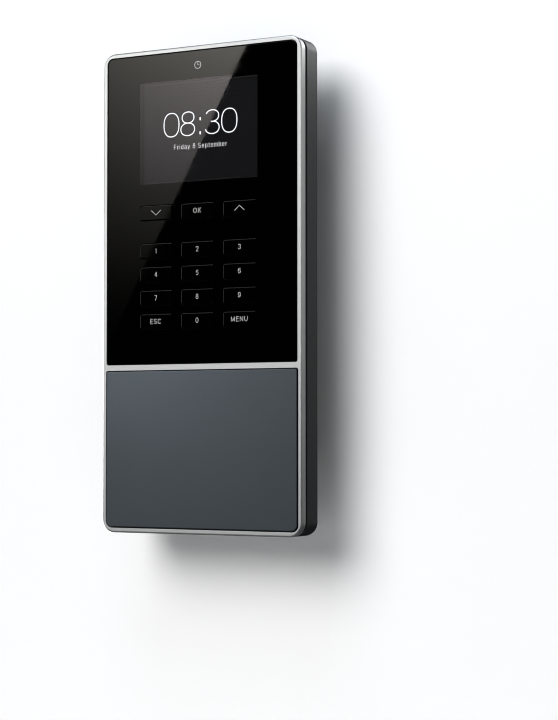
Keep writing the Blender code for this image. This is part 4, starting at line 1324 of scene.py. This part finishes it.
def sun(name, direction, angle, power):
    """Broad daylight in one direction, which polished surfaces don't mirror."""
    start = tuple(-value for value in direction)
    lamp(name, "SUN", start, (0, 0, 0), power, glossy=False).angle = math.radians(angle)


def softbox(name, location, target, size, power, only=None, **rays):
    data = lamp(name, "AREA", location, target, power, only, **rays)
    data.shape = "RECTANGLE"
    data.size, data.size_y = size
    return data


def make_lights():
    """A broad soft key from the upper left, small lights along the right side, fills behind."""
    sun("key", (0.35, 1, -0.65), 40, 2.63)
    sun("key_left", (0.5, 1, -0.45), 36, 0.46)
    top = softbox("top", (0.0, -0.25, 0.4), (0, -0.03, 0.05), (0.25, 0.25), 0.8)
    top.color = COOL
    softbox("side_wide", (0.35, 0.12, 0.1), (0.05, -0.02, 0.0), (0.3, 0.3), 0.22)
    for lit, power in (("housing", 0.13), ("bezel", 0.06)):
        softbox(f"{lit}_side_high", (0.1, 0.06, 0.17), (0.05, -0.024, 0.1), (0.1, 0.1), power, [lit])
    softbox("sheen", (-0.7, -1.2, 0.65), (0, -0.03, -0.07), (0.6, 0.3), 0.43, diffuse=False)
    caps = [name.replace("key", "cap") for name, _ in key_nodes()]
    softbox("key_tops", (-0.35, 0.02, 0.62), (0, -0.034, 0), (0.5, 0.5), 1.6, caps,
            diffuse=False)
    softbox("key_sides", (-0.8, -0.25, 0.05), (0, -0.034, 0), (0.4, 0.4), 1.0, caps,
            diffuse=False)
    softbox("panel_glow", (-0.045, -0.12, 0.03), (0.0, -0.034, -0.04), (0.1, 0.06), 0.47,
            ["reader_panel"], glossy=False)
    frame_cards = (((-0.58, -1.08, 0.08), 0.69), ((-0.5, -1.0, 0.6), 0.31),
                   ((-0.95, -0.8, 0.3), 1.1), ((0.2, -1.2, 0.3), 3.5))
    for number, (place_at, power) in enumerate(frame_cards, 1):
        softbox(f"frame_card_{number}", place_at, (0, -0.034, 0.0), (0.5, 0.5), power, ["bezel"],
                diffuse=False)
    softbox("rear_left", (-0.8, 0.6, -0.1), (0, 0, 0), (0.5, 0.5), 12.0)
    softbox("rear_right", (0.2, 0.8, 0.1), (0, 0, 0), (0.4, 0.6), 0.34)


def make_world():
    world = bpy.data.worlds.new("studio")
    bpy.context.scene.world = world
    world.use_nodes = True
    tree = world.node_tree
    background = tree.nodes["Background"]
    camera_ray = node(tree, "LightPath").outputs["Is Camera Ray"]
    background.inputs["Color"].default_value = (1.0, 1.0, 1.0, 1.0)
    connect(tree, background.inputs["Strength"], span(tree, camera_ray, 0.0, 0.95))
    world.cycles_visibility.glossy = False


def make_camera():
    data = bpy.data.cameras.new("camera")
    data.sensor_width = SENSOR
    data.lens = CAMERA_LENS
    data.clip_start = 0.01
    camera = link("camera", data)
    camera.location = CAMERA_PLACE
    camera.rotation_euler = (math.radians(CAMERA_TILT), 0.0, math.radians(CAMERA_TURN))
    bpy.context.scene.camera = camera


def main():
    paints = make_paints()
    make_camera()
    # The frame material goes on the bezel's pocket walls as painted shade.
    make_bezel(paints["silver"], paints["frame"])
    make_lens(paints)
    make_print(paints["black"])
    make_panel(paints["slate"])
    make_keys(paints)
    make_display(paints)
    make_glyph(paints["ink"])
    make_housing(paints["charcoal"])
    make_screws(paints["steel"])
    make_bracket(paints["zinc"])
    make_ethernet(paints)
    make_usb(paints)
    make_power(paints)
    dress_inner_nodes(paints)
    make_floor()
    make_backdrop()
    make_reflector()
    make_lights()
    make_world()
    bpy.context.scene.view_settings.view_transform = "Standard"
    bpy.context.scene.cycles.filter_width = 1.0


main()
